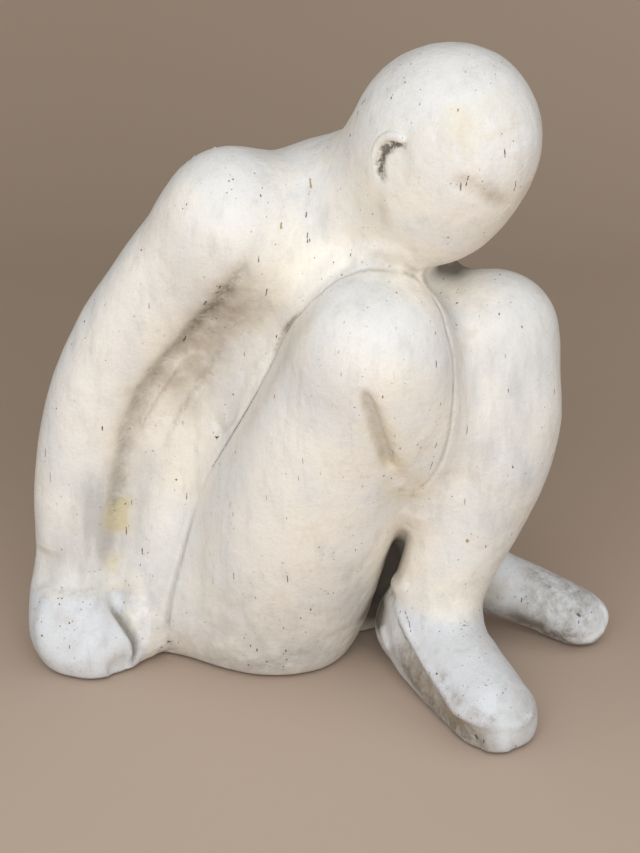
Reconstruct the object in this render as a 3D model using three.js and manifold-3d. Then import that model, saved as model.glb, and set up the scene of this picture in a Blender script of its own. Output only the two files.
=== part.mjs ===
// Seated figure sculpture: head bowed over drawn-up knees, arms propped behind the hips, shins crossed.
// It is cast in sections that meet at flat joints and are pinned together by steel dowels in bored sockets.
// Millimetres, +Z up. The figure faces -Y and its right side is at -X. It sits on the plane z = 0.
//
// The skin is a smooth blend of round limbs and egg shapes. Each limb runs from one joint of the body to
// the next, bows to one side and swells on the way. Points are [x, y, z] of the figure's right side unless
// they say left, and mirrored() gives the other side.

import * as THREE from "three";
import { mergeVertices } from "three/addons/utils/BufferGeometryUtils.js";
import Module from "manifold-3d";

const wasm = await Module();
wasm.setup();

// Head and neck
const skullCentre = [0, -180, 473];
const skullRadii = [62, 69, 68];
const skullLean = -14;
const jawCentre = [0, -159, 425];
const jawRadii = [50, 54, 54];
const neckBase = [0, -46, 374];
const neckTop = [0, -148, 456];
const neckBaseRadius = 42;
const neckTopRadius = 50;
const neckBow = [0, 0, 2];
const neckCut = [0, -112, 424];
const jawBlend = 30;
const neckBlend = 46;
const headBlend = 44;
const headDrop = 92;

// Ears: a raised rim round a small bowl, on each side of the head
const earCentre = [-60, -184, 463];
const earHeight = 42;
const earWidth = 43;
const earRimRadius = 4;
const earTurn = 18;
const earStart = 45;
const earEnd = 205;
const earSides = 6;
const earSteps = 10;

// Trunk
const chestCentre = [0, -20, 305];
const chestRadii = [94, 68, 112];
const chestLean = 24;
const bellyCentre = [0, 14, 190];
const bellyRadii = [88, 84, 120];
const bellyLean = 14;
const pelvisCentre = [0, 46, 50];
const pelvisRadii = [131, 90, 92];
const collarEnd = [46, -108, 300];
const collarStart = [0, -70, 376];
const collarStartRadius = 40;
const collarEndRadius = 30;
const breastEnd = [-86, -34, 368];
const breastRadius = 42;
const breastBow = [0, -38, -6];
const flankTop = [-58, -24, 350];
const flankFoot = [-100, 76, 42];
const flankTopRadius = 32;
const flankFootRadius = 46;
const flankBow = [-7, 29, 0];
const flankSwell = 6;
const ridgeTop = [-38, -80, 352];
const ridgeFoot = [-102, 80, 0];
const ridgeTopRadius = 16;
const ridgeFootRadius = 24;
const ridgeBow = [-6, 31, 0];
const ridgePeak = 0.67;
const trunkBlend = 60;
const flankBlend = 40;
const ridgeBlend = 16;
const waist = [0, 30, 215];
const waistNormal = [0, -0.2, 0.98];

// Arms, joined to the side of the trunk by a web
const shoulder = [-94, -30, 393];
const shoulderRadius = 48;
const shoulderBarRadius = 46;
const shoulderBarBow = [0, 2, -12];
const shoulderSwell = 2;
const wrist = [-166, 96, 62];
const wristRadius = 29;
const armBow = [-19, 42, 3];
const armSwell = 0;
const armBlend = 24;
const webTop = [-104, 30, 290];
const webFoot = [-142, 90, 80];
const webRadius = 22;
const webBow = [-7, 14, 0];
const webSwell = 4;
const webBlend = 26;
const armpit = [-80, 12, 390];
const armSeamFoot = [-140, 12, 50];
const armSeamDepth = 320;

// Hands, each a mitten with its palm and its outer edge on the ground
const palmEnd = [-164, 50, 18];
const palmStartRadius = 31;
const palmEndRadius = 28;
const palmBow = [-10, 4, -7];
const palmSwell = 6;
const edgeStart = [-172, 90, 46];
const edgeEnd = [-182, 52, 16];
const edgeStartRadius = 30;
const edgeEndRadius = 26;
const edgeBow = [-11, 1, -5];
const edgeSwell = 2;
const handBlend = 12;
const wristBlend = 14;

// Right leg, whose shin passes behind the left one
const rightSeat = [-37, -9, 50];
const rightKnee = [-51, -149, 309];
const rightAnkle = [100, -78, 66];
const rightHeel = [112, -70, 46];
const rightToe = [162, -166, 20];
const rightSeatRadius = 80;
const rightKneeRadius = 52;
const rightAnkleRadius = 34;
const rightHeelRadius = 32;
const rightToeRadius = 25;
const rightThighBow = [-3, 4, 0];
const rightThighSwell = 9;
const rightShinBow = [-16, -22, 22];
const rightCalfSwell = 5;
const rightArch = [0, 0, 4];
const rightFootSwell = -2;
const rightKneeBlend = 16;
const rightFold = [-35, -139, 272];
const rightFoldRadius = 50;
const rightFoldBlend = 30;

// Left leg
const leftSeat = [60, 24, 36];
const leftKnee = [67, -157, 294];
const leftAnkle = [30, -135, 67];
const leftHeel = [34, -112, 34];
const leftToe = [-6, -246, 18];
const leftSeatRadius = 76;
const leftKneeRadius = 46;
const leftAnkleRadius = 36.5;
const leftHeelRadius = 37;
const leftToeRadius = 33;
const leftThighBow = [0, 8, -7];
const leftThighSwell = 4;
const leftShinBow = [6, -24, 2];
const leftCalfSwell = 3;
const leftFootSwell = 2;
const leftKneeBlend = 20;
const ankleBlend = 22;
const calfPeak = 0.62;
const thighSplit = 5;
const hipShare = 0.3;

// Joints between the castings
const jointGap = 0.3;
const dowelRadius = 7;
const smallDowelRadius = 5;
const dowelLength = 90;
const smallDowelLength = 56;
const dowelSides = 8;
const socketGap = 0.3;
const waistDowelSpread = 45;
const kneeDowelDepth = 26;

// Fineness of the skin, and how far a cutting block reaches past the figure
const trunkCell = 19.5;
const legCell = 18.5;
const limbSteps = 10;
const reach = 900;

const vector = (point) => new THREE.Vector3(...point);
const mirrored = ([x, y, z]) => [-x, y, z];

// Fields: each takes a place and gives its distance from the skin, negative inside

function blend(a, b, width) {
  const overlap = Math.max(width - Math.abs(a - b), 0) / width;
  return Math.min(a, b) - overlap * overlap * width * 0.25;
}

function roundCone([ax, ay, az, startRadius], [bx, by, bz, endRadius]) {
  const axis = [bx - ax, by - ay, bz - az];
  const lengthSquared = axis[0] ** 2 + axis[1] ** 2 + axis[2] ** 2;
  const taper = startRadius - endRadius;
  const flankSquared = lengthSquared - taper * taper;
  return (x, y, z) => {
    const px = x - ax;
    const py = y - ay;
    const pz = z - az;
    const along = px * axis[0] + py * axis[1] + pz * axis[2];
    const past = along - lengthSquared;
    const qx = px * lengthSquared - axis[0] * along;
    const qy = py * lengthSquared - axis[1] * along;
    const qz = pz * lengthSquared - axis[2] * along;
    const side = qx * qx + qy * qy + qz * qz;
    const limit = Math.sign(taper) * taper * taper * side;
    if (Math.sign(past) * flankSquared * past * past * lengthSquared > limit) {
      return Math.sqrt(side + past * past * lengthSquared) / lengthSquared - endRadius;
    }
    if (Math.sign(along) * flankSquared * along * along * lengthSquared < limit) {
      return Math.sqrt(side + along * along * lengthSquared) / lengthSquared - startRadius;
    }
    return (Math.sqrt((side * flankSquared) / lengthSquared) + along * taper) / lengthSquared - startRadius;
  };
}

function limb(from, to, startRadius, endRadius, { bow = [0, 0, 0], swell = 0, peak = 0.5 } = {}) {
  const power = Math.log(0.5) / Math.log(peak);
  const stations = [];
  for (let i = 0; i <= limbSteps; i += 1) {
    const share = i / limbSteps;
    const wave = Math.sin(Math.PI * share ** power);
    const place = from.map((start, k) => start + (to[k] - start) * share + bow[k] * wave);
    stations.push([...place, startRadius + (endRadius - startRadius) * share + swell * wave]);
  }
  const cones = stations.slice(1).map((station, i) => roundCone(stations[i], station));
  const field = (x, y, z) => Math.min(...cones.map((cone) => cone(x, y, z)));
  field.low = from.map((_, k) => Math.min(...stations.map((station) => station[k] - station[3])));
  field.high = from.map((_, k) => Math.max(...stations.map((station) => station[k] + station[3])));
  return field;
}

function egg(centre, radii, lean = 0) {
  const angle = THREE.MathUtils.degToRad(lean);
  const cosine = Math.cos(angle);
  const sine = Math.sin(angle);
  const least = Math.min(...radii);
  const most = Math.max(...radii);
  const field = (x, y, z) => {
    const dy = y - centre[1];
    const dz = z - centre[2];
    const ex = (x - centre[0]) / radii[0];
    const ey = (cosine * dy + sine * dz) / radii[1];
    const ez = (cosine * dz - sine * dy) / radii[2];
    const size = Math.sqrt(ex * ex + ey * ey + ez * ez);
    const slope = Math.sqrt((ex / radii[0]) ** 2 + (ey / radii[1]) ** 2 + (ez / radii[2]) ** 2);
    return slope < 1e-9 ? -least : (size * (size - 1)) / slope;
  };
  field.low = centre.map((value) => value - most);
  field.high = centre.map((value) => value + most);
  return field;
}

// The same shape on both sides of the body
function bothSides(make, ...points) {
  const right = make(...points);
  const left = make(...points.map(mirrored));
  const field = (x, y, z) => Math.min(right(x, y, z), left(x, y, z));
  field.low = right.low.map((value, k) => Math.min(value, left.low[k]));
  field.high = right.high.map((value, k) => Math.max(value, left.high[k]));
  return field;
}

const skull = egg(skullCentre, skullRadii, skullLean);
const jaw = egg(jawCentre, jawRadii);
const neck = limb(neckBase, neckTop, neckBaseRadius, neckTopRadius, { bow: neckBow });
const chest = egg(chestCentre, chestRadii, chestLean);
const belly = egg(bellyCentre, bellyRadii, bellyLean);
const pelvis = egg(pelvisCentre, pelvisRadii);
const shoulderBar = limb(shoulder, mirrored(shoulder), shoulderBarRadius, shoulderBarRadius, {
  bow: shoulderBarBow,
  swell: shoulderSwell,
});
const breast = limb(breastEnd, mirrored(breastEnd), breastRadius, breastRadius, {
  bow: breastBow,
  swell: shoulderSwell,
});
const collar = limb(collarStart, collarEnd, collarStartRadius, collarEndRadius);
const flank = bothSides(
  (top, foot, bow) => limb(top, foot, flankTopRadius, flankFootRadius, { bow, swell: flankSwell }),
  flankTop,
  flankFoot,
  flankBow,
);
const ridge = bothSides(
  (top, foot, bow) => limb(top, foot, ridgeTopRadius, ridgeFootRadius, { bow, peak: ridgePeak }),
  ridgeTop,
  ridgeFoot,
  ridgeBow,
);
const web = bothSides(
  (top, foot, bow) => limb(top, foot, webRadius, webRadius, { bow, swell: webSwell }),
  webTop,
  webFoot,
  webBow,
);
const arm = bothSides(
  (top, foot, bow) => limb(top, foot, shoulderRadius, wristRadius, { bow, swell: armSwell }),
  shoulder,
  wrist,
  armBow,
);
const palm = bothSides(
  (start, end, bow) => limb(start, end, palmStartRadius, palmEndRadius, { bow, swell: palmSwell }),
  wrist,
  palmEnd,
  palmBow,
);
const handEdge = bothSides(
  (start, end, bow) => limb(start, end, edgeStartRadius, edgeEndRadius, { bow, swell: edgeSwell }),
  edgeStart,
  edgeEnd,
  edgeBow,
);

const trunkShapes = [
  ...[skull, jaw, neck, chest, belly, pelvis, shoulderBar, breast],
  ...[collar, flank, ridge, web, arm, palm, handEdge],
];

function trunkField(x, y, z) {
  let trunk = blend(pelvis(x, y, z), belly(x, y, z), trunkBlend);
  trunk = blend(trunk, chest(x, y, z), trunkBlend);
  trunk = blend(trunk, shoulderBar(x, y, z), flankBlend);
  trunk = blend(trunk, breast(x, y, z), flankBlend);
  trunk = blend(trunk, flank(x, y, z), flankBlend);
  trunk = blend(trunk, web(x, y, z), webBlend);
  trunk = blend(trunk, ridge(x, y, z), ridgeBlend);
  trunk = blend(trunk, collar(x, y, z), flankBlend);
  trunk = blend(trunk, neck(x, y, z), neckBlend);
  const hand = blend(palm(x, y, z), handEdge(x, y, z), handBlend);
  trunk = blend(trunk, blend(arm(x, y, z), hand, wristBlend), armBlend);
  return blend(trunk, blend(skull(x, y, z), jaw(x, y, z), jawBlend), headBlend);
}

const rightThigh = limb(rightSeat, rightKnee, rightSeatRadius, rightKneeRadius, {
  bow: rightThighBow,
  swell: rightThighSwell,
});
const rightShin = limb(rightAnkle, rightKnee, rightAnkleRadius, rightKneeRadius, {
  bow: rightShinBow,
  swell: rightCalfSwell,
  peak: calfPeak,
});
const rightKneePad = limb(rightKnee, rightFold, rightKneeRadius, rightFoldRadius);
const rightFoot = limb(rightHeel, rightToe, rightHeelRadius, rightToeRadius, {
  bow: rightArch,
  swell: rightFootSwell,
});

function rightLegField(x, y, z) {
  const upper = blend(rightThigh(x, y, z), rightKneePad(x, y, z), rightFoldBlend);
  const leg = blend(upper, rightShin(x, y, z), rightKneeBlend);
  return blend(leg, rightFoot(x, y, z), ankleBlend);
}

const leftThigh = limb(leftSeat, leftKnee, leftSeatRadius, leftKneeRadius, {
  bow: leftThighBow,
  swell: leftThighSwell,
});
const leftShin = limb(leftAnkle, leftKnee, leftAnkleRadius, leftKneeRadius, {
  bow: leftShinBow,
  swell: leftCalfSwell,
  peak: calfPeak,
});
const leftFoot = limb(leftHeel, leftToe, leftHeelRadius, leftToeRadius, { swell: leftFootSwell });

function leftLegField(x, y, z) {
  const upper = blend(leftThigh(x, y, z), leftShin(x, y, z), leftKneeBlend);
  return blend(upper, leftFoot(x, y, z), ankleBlend);
}

// Skin: a net of one point per cell that the surface passes through, each point moved onto the surface

const axes = [0, 1, 2];
const corners = [];
for (let i = 0; i < 8; i += 1) {
  corners.push([i & 1, (i >> 1) & 1, (i >> 2) & 1]);
}

// A cell is simple when its inside corners hang together, its outside ones too, and no face is chequered
function isSimple(mask) {
  const joinedCount = (wanted) => {
    const members = corners.map((_, i) => i).filter((i) => ((mask >> i) & 1) === wanted);
    const seen = new Set(members.slice(0, 1));
    for (const i of seen) {
      for (const step of [1, 2, 4]) {
        if (members.includes(i ^ step)) {
          seen.add(i ^ step);
        }
      }
    }
    return members.length - seen.size;
  };
  if (joinedCount(0) > 0 || joinedCount(1) > 0) {
    return false;
  }
  for (let i = 0; i < 8; i += 1) {
    for (const [a, b] of [[1, 2], [1, 4], [2, 4]]) {
      const own = (mask >> i) & 1;
      const opposite = (mask >> (i ^ a ^ b)) & 1;
      const beside = (mask >> (i ^ a)) & 1;
      const below = (mask >> (i ^ b)) & 1;
      if (own === opposite && beside === below && own !== beside) {
        return false;
      }
    }
  }
  return true;
}

const maskCount = 2 ** corners.length;
const simpleMasks = Array.from({ length: maskCount }, (_, mask) => isSimple(mask));

function solidFrom(positions, triangles) {
  const mesh = new wasm.Mesh({
    numProp: 3,
    vertProperties: Float32Array.from(positions),
    triVerts: Uint32Array.from(triangles),
  });
  return new wasm.Manifold(mesh);
}

function slopeOf(field, at) {
  const step = 0.5;
  return axes.map((axis) => {
    const ahead = [...at];
    const behind = [...at];
    ahead[axis] += step;
    behind[axis] -= step;
    return (field(...ahead) - field(...behind)) / (2 * step);
  });
}

// Gives the skin itself and, from the same points moved outward by the gap, the room it needs in a neighbour
function skin(field, shapes, cell) {
  const margin = 2 * cell;
  const low = axes.map((k) => Math.min(...shapes.map((shape) => shape.low[k])) - margin);
  const high = axes.map((k) => Math.max(...shapes.map((shape) => shape.high[k])) + margin);
  const counts = low.map((start, k) => Math.ceil((high[k] - start) / cell) + 1);
  const strides = [1, counts[0], counts[0] * counts[1]];
  const values = new Float64Array(counts[0] * counts[1] * counts[2]);
  const place = (i, j, k) => [low[0] + i * cell, low[1] + j * cell, low[2] + k * cell];
  for (let k = 0; k < counts[2]; k += 1) {
    for (let j = 0; j < counts[1]; j += 1) {
      for (let i = 0; i < counts[0]; i += 1) {
        values[i + j * strides[1] + k * strides[2]] = field(...place(i, j, k));
      }
    }
  }
  const cornerSteps = corners.map((corner) => corner[0] + corner[1] * strides[1] + corner[2] * strides[2]);
  const cellMask = (at) => cornerSteps.reduce((mask, step, i) => mask | ((values[at + step] < 0) << i), 0);

  // Clefts that are narrower than a cell are closed at their bottom
  let changed = true;
  while (changed) {
    changed = false;
    for (let k = 0; k + 1 < counts[2]; k += 1) {
      for (let j = 0; j + 1 < counts[1]; j += 1) {
        for (let i = 0; i + 1 < counts[0]; i += 1) {
          const at = i + j * strides[1] + k * strides[2];
          if (!simpleMasks[cellMask(at)]) {
            const outside = cornerSteps.map((step) => at + step).filter((corner) => values[corner] >= 0);
            outside.sort((a, b) => values[a] - values[b]);
            values[outside[0]] = -0.01 * cell;
            changed = true;
          }
        }
      }
    }
  }

  // Each point starts at the mean of its cell's crossings and slides along the slope to the surface
  const points = [];
  const pointOf = new Map();
  const settle = (start, centre) => {
    let at = start;
    for (let round = 0; round < 4; round += 1) {
      const distance = field(...at);
      const slope = slopeOf(field, at);
      const steepness = Math.max(slope[0] ** 2 + slope[1] ** 2 + slope[2] ** 2, 0.2);
      at = at.map((value, axis) => {
        const moved = value - (distance * slope[axis]) / steepness;
        return THREE.MathUtils.clamp(moved, centre[axis] - 0.48 * cell, centre[axis] + 0.48 * cell);
      });
    }
    return at;
  };
  for (let k = 0; k + 1 < counts[2]; k += 1) {
    for (let j = 0; j + 1 < counts[1]; j += 1) {
      for (let i = 0; i + 1 < counts[0]; i += 1) {
        const at = i + j * strides[1] + k * strides[2];
        const mask = cellMask(at);
        if (mask === 0 || mask === maskCount - 1) {
          continue;
        }
        const sum = [0, 0, 0];
        let crossings = 0;
        for (let a = 0; a < 8; a += 1) {
          for (const step of [1, 2, 4]) {
            const b = a | step;
            if (a !== b && ((mask >> a) & 1) !== ((mask >> b) & 1)) {
              const first = values[at + cornerSteps[a]];
              const share = first / (first - values[at + cornerSteps[b]]);
              sum.forEach((_, axis) => {
                sum[axis] += corners[a][axis] + (corners[b][axis] - corners[a][axis]) * share;
              });
              crossings += 1;
            }
          }
        }
        const origin = place(i, j, k);
        const start = origin.map((value, axis) => value + (sum[axis] / crossings) * cell);
        const centre = origin.map((value) => value + cell / 2);
        pointOf.set(at, points.length);
        points.push(settle(start, centre));
      }
    }
  }

  // Four points round each crossed edge of the lattice make two triangles, split at the shorter diagonal
  const triangles = [];
  const span = (a, b) => Math.hypot(...points[a].map((value, axis) => value - points[b][axis]));
  for (let k = 1; k + 1 < counts[2]; k += 1) {
    for (let j = 1; j + 1 < counts[1]; j += 1) {
      for (let i = 1; i + 1 < counts[0]; i += 1) {
        const at = i + j * strides[1] + k * strides[2];
        for (let axis = 0; axis < 3; axis += 1) {
          const isInside = values[at] < 0;
          if (isInside === values[at + strides[axis]] < 0) {
            continue;
          }
          const u = strides[(axis + 1) % 3];
          const v = strides[(axis + 2) % 3];
          const ring = [at, at - u, at - u - v, at - v].map((index) => pointOf.get(index));
          if (!isInside) {
            ring.reverse();
          }
          const [a, b, c, d] = ring;
          if (span(a, c) <= span(b, d)) {
            triangles.push(a, b, c, a, c, d);
          } else {
            triangles.push(a, b, d, b, c, d);
          }
        }
      }
    }
  }
  const geometry = new THREE.BufferGeometry();
  geometry.setAttribute("position", new THREE.Float32BufferAttribute(points.flat(), 3));
  geometry.setIndex(triangles);
  geometry.computeVertexNormals();
  const normals = geometry.attributes.normal.array;
  const widened = points.flat().map((value, i) => value + jointGap * normals[i]);
  const fit = solidFrom(points.flat(), triangles);
  return { fit, room: solidFrom(widened, triangles).add(fit) };
}

// Solids from three.js geometry

function solidOf(geometry) {
  geometry.deleteAttribute("normal");
  geometry.deleteAttribute("uv");
  const merged = mergeVertices(geometry, 1e-4);
  return solidFrom(merged.attributes.position.array, merged.index.array);
}

// A block with one face on a joint plane. It reaches ahead along the normal, moved ahead by shift, and may
// be limited below and to the sides.
function block({ point, normal, up = null, below = reach, side = reach }, shift) {
  const ahead = vector(normal).normalize();
  const guess = up ? vector(up) : new THREE.Vector3(1, 0.3, 0.1);
  const across = guess.clone().cross(ahead).normalize();
  const upright = ahead.clone().cross(across).normalize();
  const geometry = new THREE.BoxGeometry(2 * side, below + reach, reach);
  geometry.translate(0, (reach - below) / 2, reach / 2 + shift);
  geometry.applyMatrix4(new THREE.Matrix4().makeBasis(across, upright, ahead));
  geometry.translate(...point);
  return solidOf(geometry);
}

const opposite = (plane) => ({ ...plane, normal: plane.normal.map((value) => -value) });

// The largest body of a cut, without the crumbs beside it
function mainBody(solid) {
  const bodies = solid.decompose();
  return bodies.reduce((most, body) => (body.volume() > most.volume() ? body : most));
}

function direction(from, to) {
  return vector(to).sub(vector(from)).normalize().toArray();
}

// Joint planes
const neckAxis = direction(neckBase, neckTop);
const neckPlane = {
  point: neckCut,
  normal: neckAxis,
  up: [0, 0, 1],
  below: headDrop,
  side: 2 * skullRadii[0],
};
const armSeamAxis = direction(armSeamFoot, armpit);
const armPlane = {
  point: armpit,
  normal: [-armSeamAxis[2], 0, armSeamAxis[0]],
  up: armSeamAxis,
  side: armSeamDepth / 2,
};
const wristPlane = { point: wrist, normal: [0, 0, -1] };
const waistPlane = { point: waist, normal: waistNormal };

function leg(seat, knee, ankle) {
  const thighAxis = direction(seat, knee);
  const shinAxis = direction(knee, ankle);
  const bend = vector(shinAxis).add(vector(thighAxis)).normalize().toArray();
  const inward = vector(shinAxis).sub(vector(thighAxis)).normalize();
  const hip = vector(seat).lerp(vector(knee), hipShare).toArray();
  return {
    hip,
    thighAxis,
    shinAxis,
    bend,
    kneePin: vector(knee).addScaledVector(inward, kneeDowelDepth).toArray(),
    hipPlane: { point: hip, normal: thighAxis },
    kneePlane: { point: knee, normal: bend },
    anklePlane: { point: ankle, normal: shinAxis },
  };
}

const rightLeg = leg(rightSeat, rightKnee, rightAnkle);
const leftLeg = leg(leftSeat, leftKnee, leftAnkle);

// The four lengths of a leg. Shift moves every joint plane away from its own length, so that one call gives
// the castings with half the gap taken off and another gives the room that they need in their neighbours.
function legLengths(solid, planes, shift) {
  const upper = solid.intersect(block(opposite(planes.kneePlane), shift));
  const lower = solid.intersect(block(planes.kneePlane, shift));
  return {
    seat: upper.intersect(block(opposite(planes.hipPlane), shift)),
    thigh: upper.intersect(block(planes.hipPlane, shift)),
    shin: lower.intersect(block(opposite(planes.anklePlane), shift)),
    foot: lower.intersect(block(planes.anklePlane, shift)),
  };
}

const half = jointGap / 2;
const trunkSkin = skin(trunkField, trunkShapes, trunkCell);
const rightSkin = skin(rightLegField, [rightThigh, rightShin, rightFoot], legCell);
const leftSkin = skin(leftLegField, [leftThigh, leftShin, leftFoot], legCell);
const rightFit = legLengths(rightSkin.fit, rightLeg, half);
const leftFit = legLengths(leftSkin.fit, leftLeg, half);
const rightRoom = legLengths(rightSkin.room, rightLeg, -half);
const leftRoom = legLengths(leftSkin.room, leftLeg, -half);

// The thighs meet on an upright plane between them, and the right shin is housed round the left one
const splitPlane = { point: [thighSplit, 0, 0], normal: [-1, 0, 0] };
const solids = {};
solids.left_shin = leftFit.shin;
solids.left_foot = leftFit.foot;
solids.right_foot = rightFit.foot;
solids.right_shin = rightFit.shin.subtract(leftRoom.shin).subtract(leftRoom.foot);
solids.right_thigh = rightFit.thigh.intersect(block(splitPlane, half)).subtract(leftRoom.shin);
solids.left_thigh = leftFit.thigh.intersect(block(opposite(splitPlane), half));
solids.left_thigh = solids.left_thigh.subtract(rightRoom.shin).subtract(rightRoom.foot);

// The trunk takes the seats of both thighs and makes room for the rest of the legs
let trunk = trunkSkin.fit;
const takeOff = (plane) => {
  const piece = trunk.intersect(block(plane, half));
  trunk = trunk.subtract(block(plane, -half));
  return piece;
};
solids.head = takeOff(neckPlane);
for (const side of ["right", "left"]) {
  const plane = side === "right" ? armPlane : mirroredPlane(armPlane);
  const wristFace = side === "right" ? wristPlane : mirroredPlane(wristPlane);
  const whole = takeOff(plane);
  solids[`${side}_arm`] = whole.intersect(block(opposite(wristFace), half));
  solids[`${side}_hand`] = whole.intersect(block(wristFace, half));
}

function mirroredPlane(plane) {
  const up = plane.up ? mirrored(plane.up) : null;
  return { ...plane, point: mirrored(plane.point), normal: mirrored(plane.normal), up };
}

trunk = trunk.add(rightFit.seat).add(leftFit.seat);
trunk = trunk.subtract(rightRoom.thigh.intersect(block(splitPlane, -half)));
trunk = trunk.subtract(leftRoom.thigh.intersect(block(opposite(splitPlane), -half)));
for (const room of [rightRoom, leftRoom]) {
  trunk = trunk.subtract(room.shin).subtract(room.foot);
}
solids.chest = trunk.intersect(block(waistPlane, half));
solids.hips = trunk.intersect(block(opposite(waistPlane), half));

// Everything stands on the ground plane
const ground = { point: [0, 0, 0], normal: [0, 0, 1] };
for (const [name, solid] of Object.entries(solids)) {
  solids[name] = mainBody(solid.intersect(block(ground, 0)));
}

// Dowels: each crosses one joint and sits in a socket bored in the two castings that it joins

function rod({ point, axis, radius, length }, growth) {
  const wide = radius + growth;
  const geometry = new THREE.CylinderGeometry(wide, wide, length + 2 * growth, dowelSides);
  const turn = new THREE.Quaternion();
  turn.setFromUnitVectors(new THREE.Vector3(0, 1, 0), vector(axis).normalize());
  geometry.applyQuaternion(turn);
  geometry.translate(...point);
  return solidOf(geometry);
}

const large = { radius: dowelRadius, length: dowelLength };
const small = { radius: smallDowelRadius, length: smallDowelLength };
const shoulderPin = onPlane(shoulder, armPlane);
const waistPin = [-waistDowelSpread, waist[1], waist[2]];
const dowels = { neck_dowel: { ...large, point: neckCut, axis: neckAxis, joins: ["head", "chest"] } };
for (const side of ["right", "left"]) {
  const sided = side === "right" ? (point) => point : mirrored;
  const planes = side === "right" ? rightLeg : leftLeg;
  const part = (name) => `${side}_${name}`;
  const add = (name, size, point, axis, joins) => {
    dowels[part(name)] = { ...size, point, axis, joins };
  };
  add("waist_dowel", large, sided(waistPin), waistNormal, ["chest", "hips"]);
  add("shoulder_dowel", small, sided(shoulderPin), sided(armPlane.normal), ["chest", part("arm")]);
  add("wrist_dowel", small, sided(wrist), wristPlane.normal, [part("arm"), part("hand")]);
  add("hip_dowel", large, planes.hip, planes.thighAxis, ["hips", part("thigh")]);
  add("knee_dowel", small, planes.kneePin, planes.bend, [part("thigh"), part("shin")]);
  add("ankle_dowel", small, planes.anklePlane.point, planes.shinAxis, [part("shin"), part("foot")]);
}

function onPlane(point, plane) {
  const normal = vector(plane.normal).normalize();
  const height = vector(point).sub(vector(plane.point)).dot(normal);
  return vector(point).addScaledVector(normal, -height).toArray();
}

for (const [name, dowel] of Object.entries(dowels)) {
  const socket = rod(dowel, socketGap);
  for (const casting of dowel.joins) {
    solids[casting] = solids[casting].subtract(socket);
  }
  solids[name] = rod(dowel, 0);
}

// Ears: a round rim laid on the side of the head from the top of its front, over the back, to the lobe

function earRim(side, growth) {
  const turn = THREE.MathUtils.degToRad(earTurn);
  const lengthening = (growth / earHeight) * 2;
  const first = THREE.MathUtils.degToRad(earStart) - lengthening;
  const last = THREE.MathUtils.degToRad(earEnd) + lengthening;
  const route = [];
  for (let i = 0; i <= 6; i += 1) {
    const angle = first + ((last - first) * i) / 6;
    const forward = (Math.cos(angle) * earWidth) / 2;
    const upward = (Math.sin(angle) * earHeight) / 2;
    const y = earCentre[1] - forward * Math.cos(turn) + upward * Math.sin(turn);
    const z = earCentre[2] + upward * Math.cos(turn) + forward * Math.sin(turn);
    route.push(vector(ontoHead([side * earCentre[0], y, z])));
  }
  const section = new THREE.Shape();
  section.absarc(0, 0, earRimRadius + growth, 0, 2 * Math.PI);
  const geometry = new THREE.ExtrudeGeometry(section, {
    curveSegments: earSides / 2,
    steps: earSteps,
    extrudePath: new THREE.CatmullRomCurve3(route),
  });
  return solidOf(geometry);
}

// The place on the side of the head with the same height and depth
function ontoHead([x, y, z]) {
  let at = x;
  for (let round = 0; round < 12; round += 1) {
    at += Math.sign(x) * -trunkField(at, y, z);
  }
  return [at, y, z];
}

for (const [name, side] of [["right_ear", 1], ["left_ear", -1]]) {
  solids.head = solids.head.subtract(earRim(side, socketGap));
  solids[name] = earRim(side, 0);
}

// Scene

const coat = new THREE.MeshStandardMaterial({ color: 0xdcd7cb, roughness: 0.62, metalness: 0 });
const wornCoat = new THREE.MeshStandardMaterial({ color: 0xc9c7bf, roughness: 0.72, metalness: 0 });
const steel = new THREE.MeshStandardMaterial({ color: 0x9b9da0, roughness: 0.35, metalness: 1 });

function materialOf(name) {
  if (name.endsWith("dowel")) {
    return steel;
  }
  return name.endsWith("foot") || name.endsWith("hand") ? wornCoat : coat;
}

function meshOf(name, solid) {
  const { vertProperties, triVerts } = solid.getMesh();
  const geometry = new THREE.BufferGeometry();
  geometry.setAttribute("position", new THREE.BufferAttribute(Float32Array.from(vertProperties), 3));
  geometry.setIndex(new THREE.BufferAttribute(Uint32Array.from(triVerts), 1));
  geometry.computeVertexNormals();
  const mesh = new THREE.Mesh(geometry, materialOf(name).clone());
  mesh.name = name;
  return mesh;
}

// The origin is on the ground, under the middle of the whole figure
const figure = new THREE.Group();
for (const [name, solid] of Object.entries(solids)) {
  figure.add(meshOf(name, solid));
}
const middle = new THREE.Box3().setFromObject(figure).getCenter(new THREE.Vector3());
for (const mesh of figure.children) {
  mesh.position.set(-middle.x, -middle.y, 0);
}

export default figure;
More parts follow.
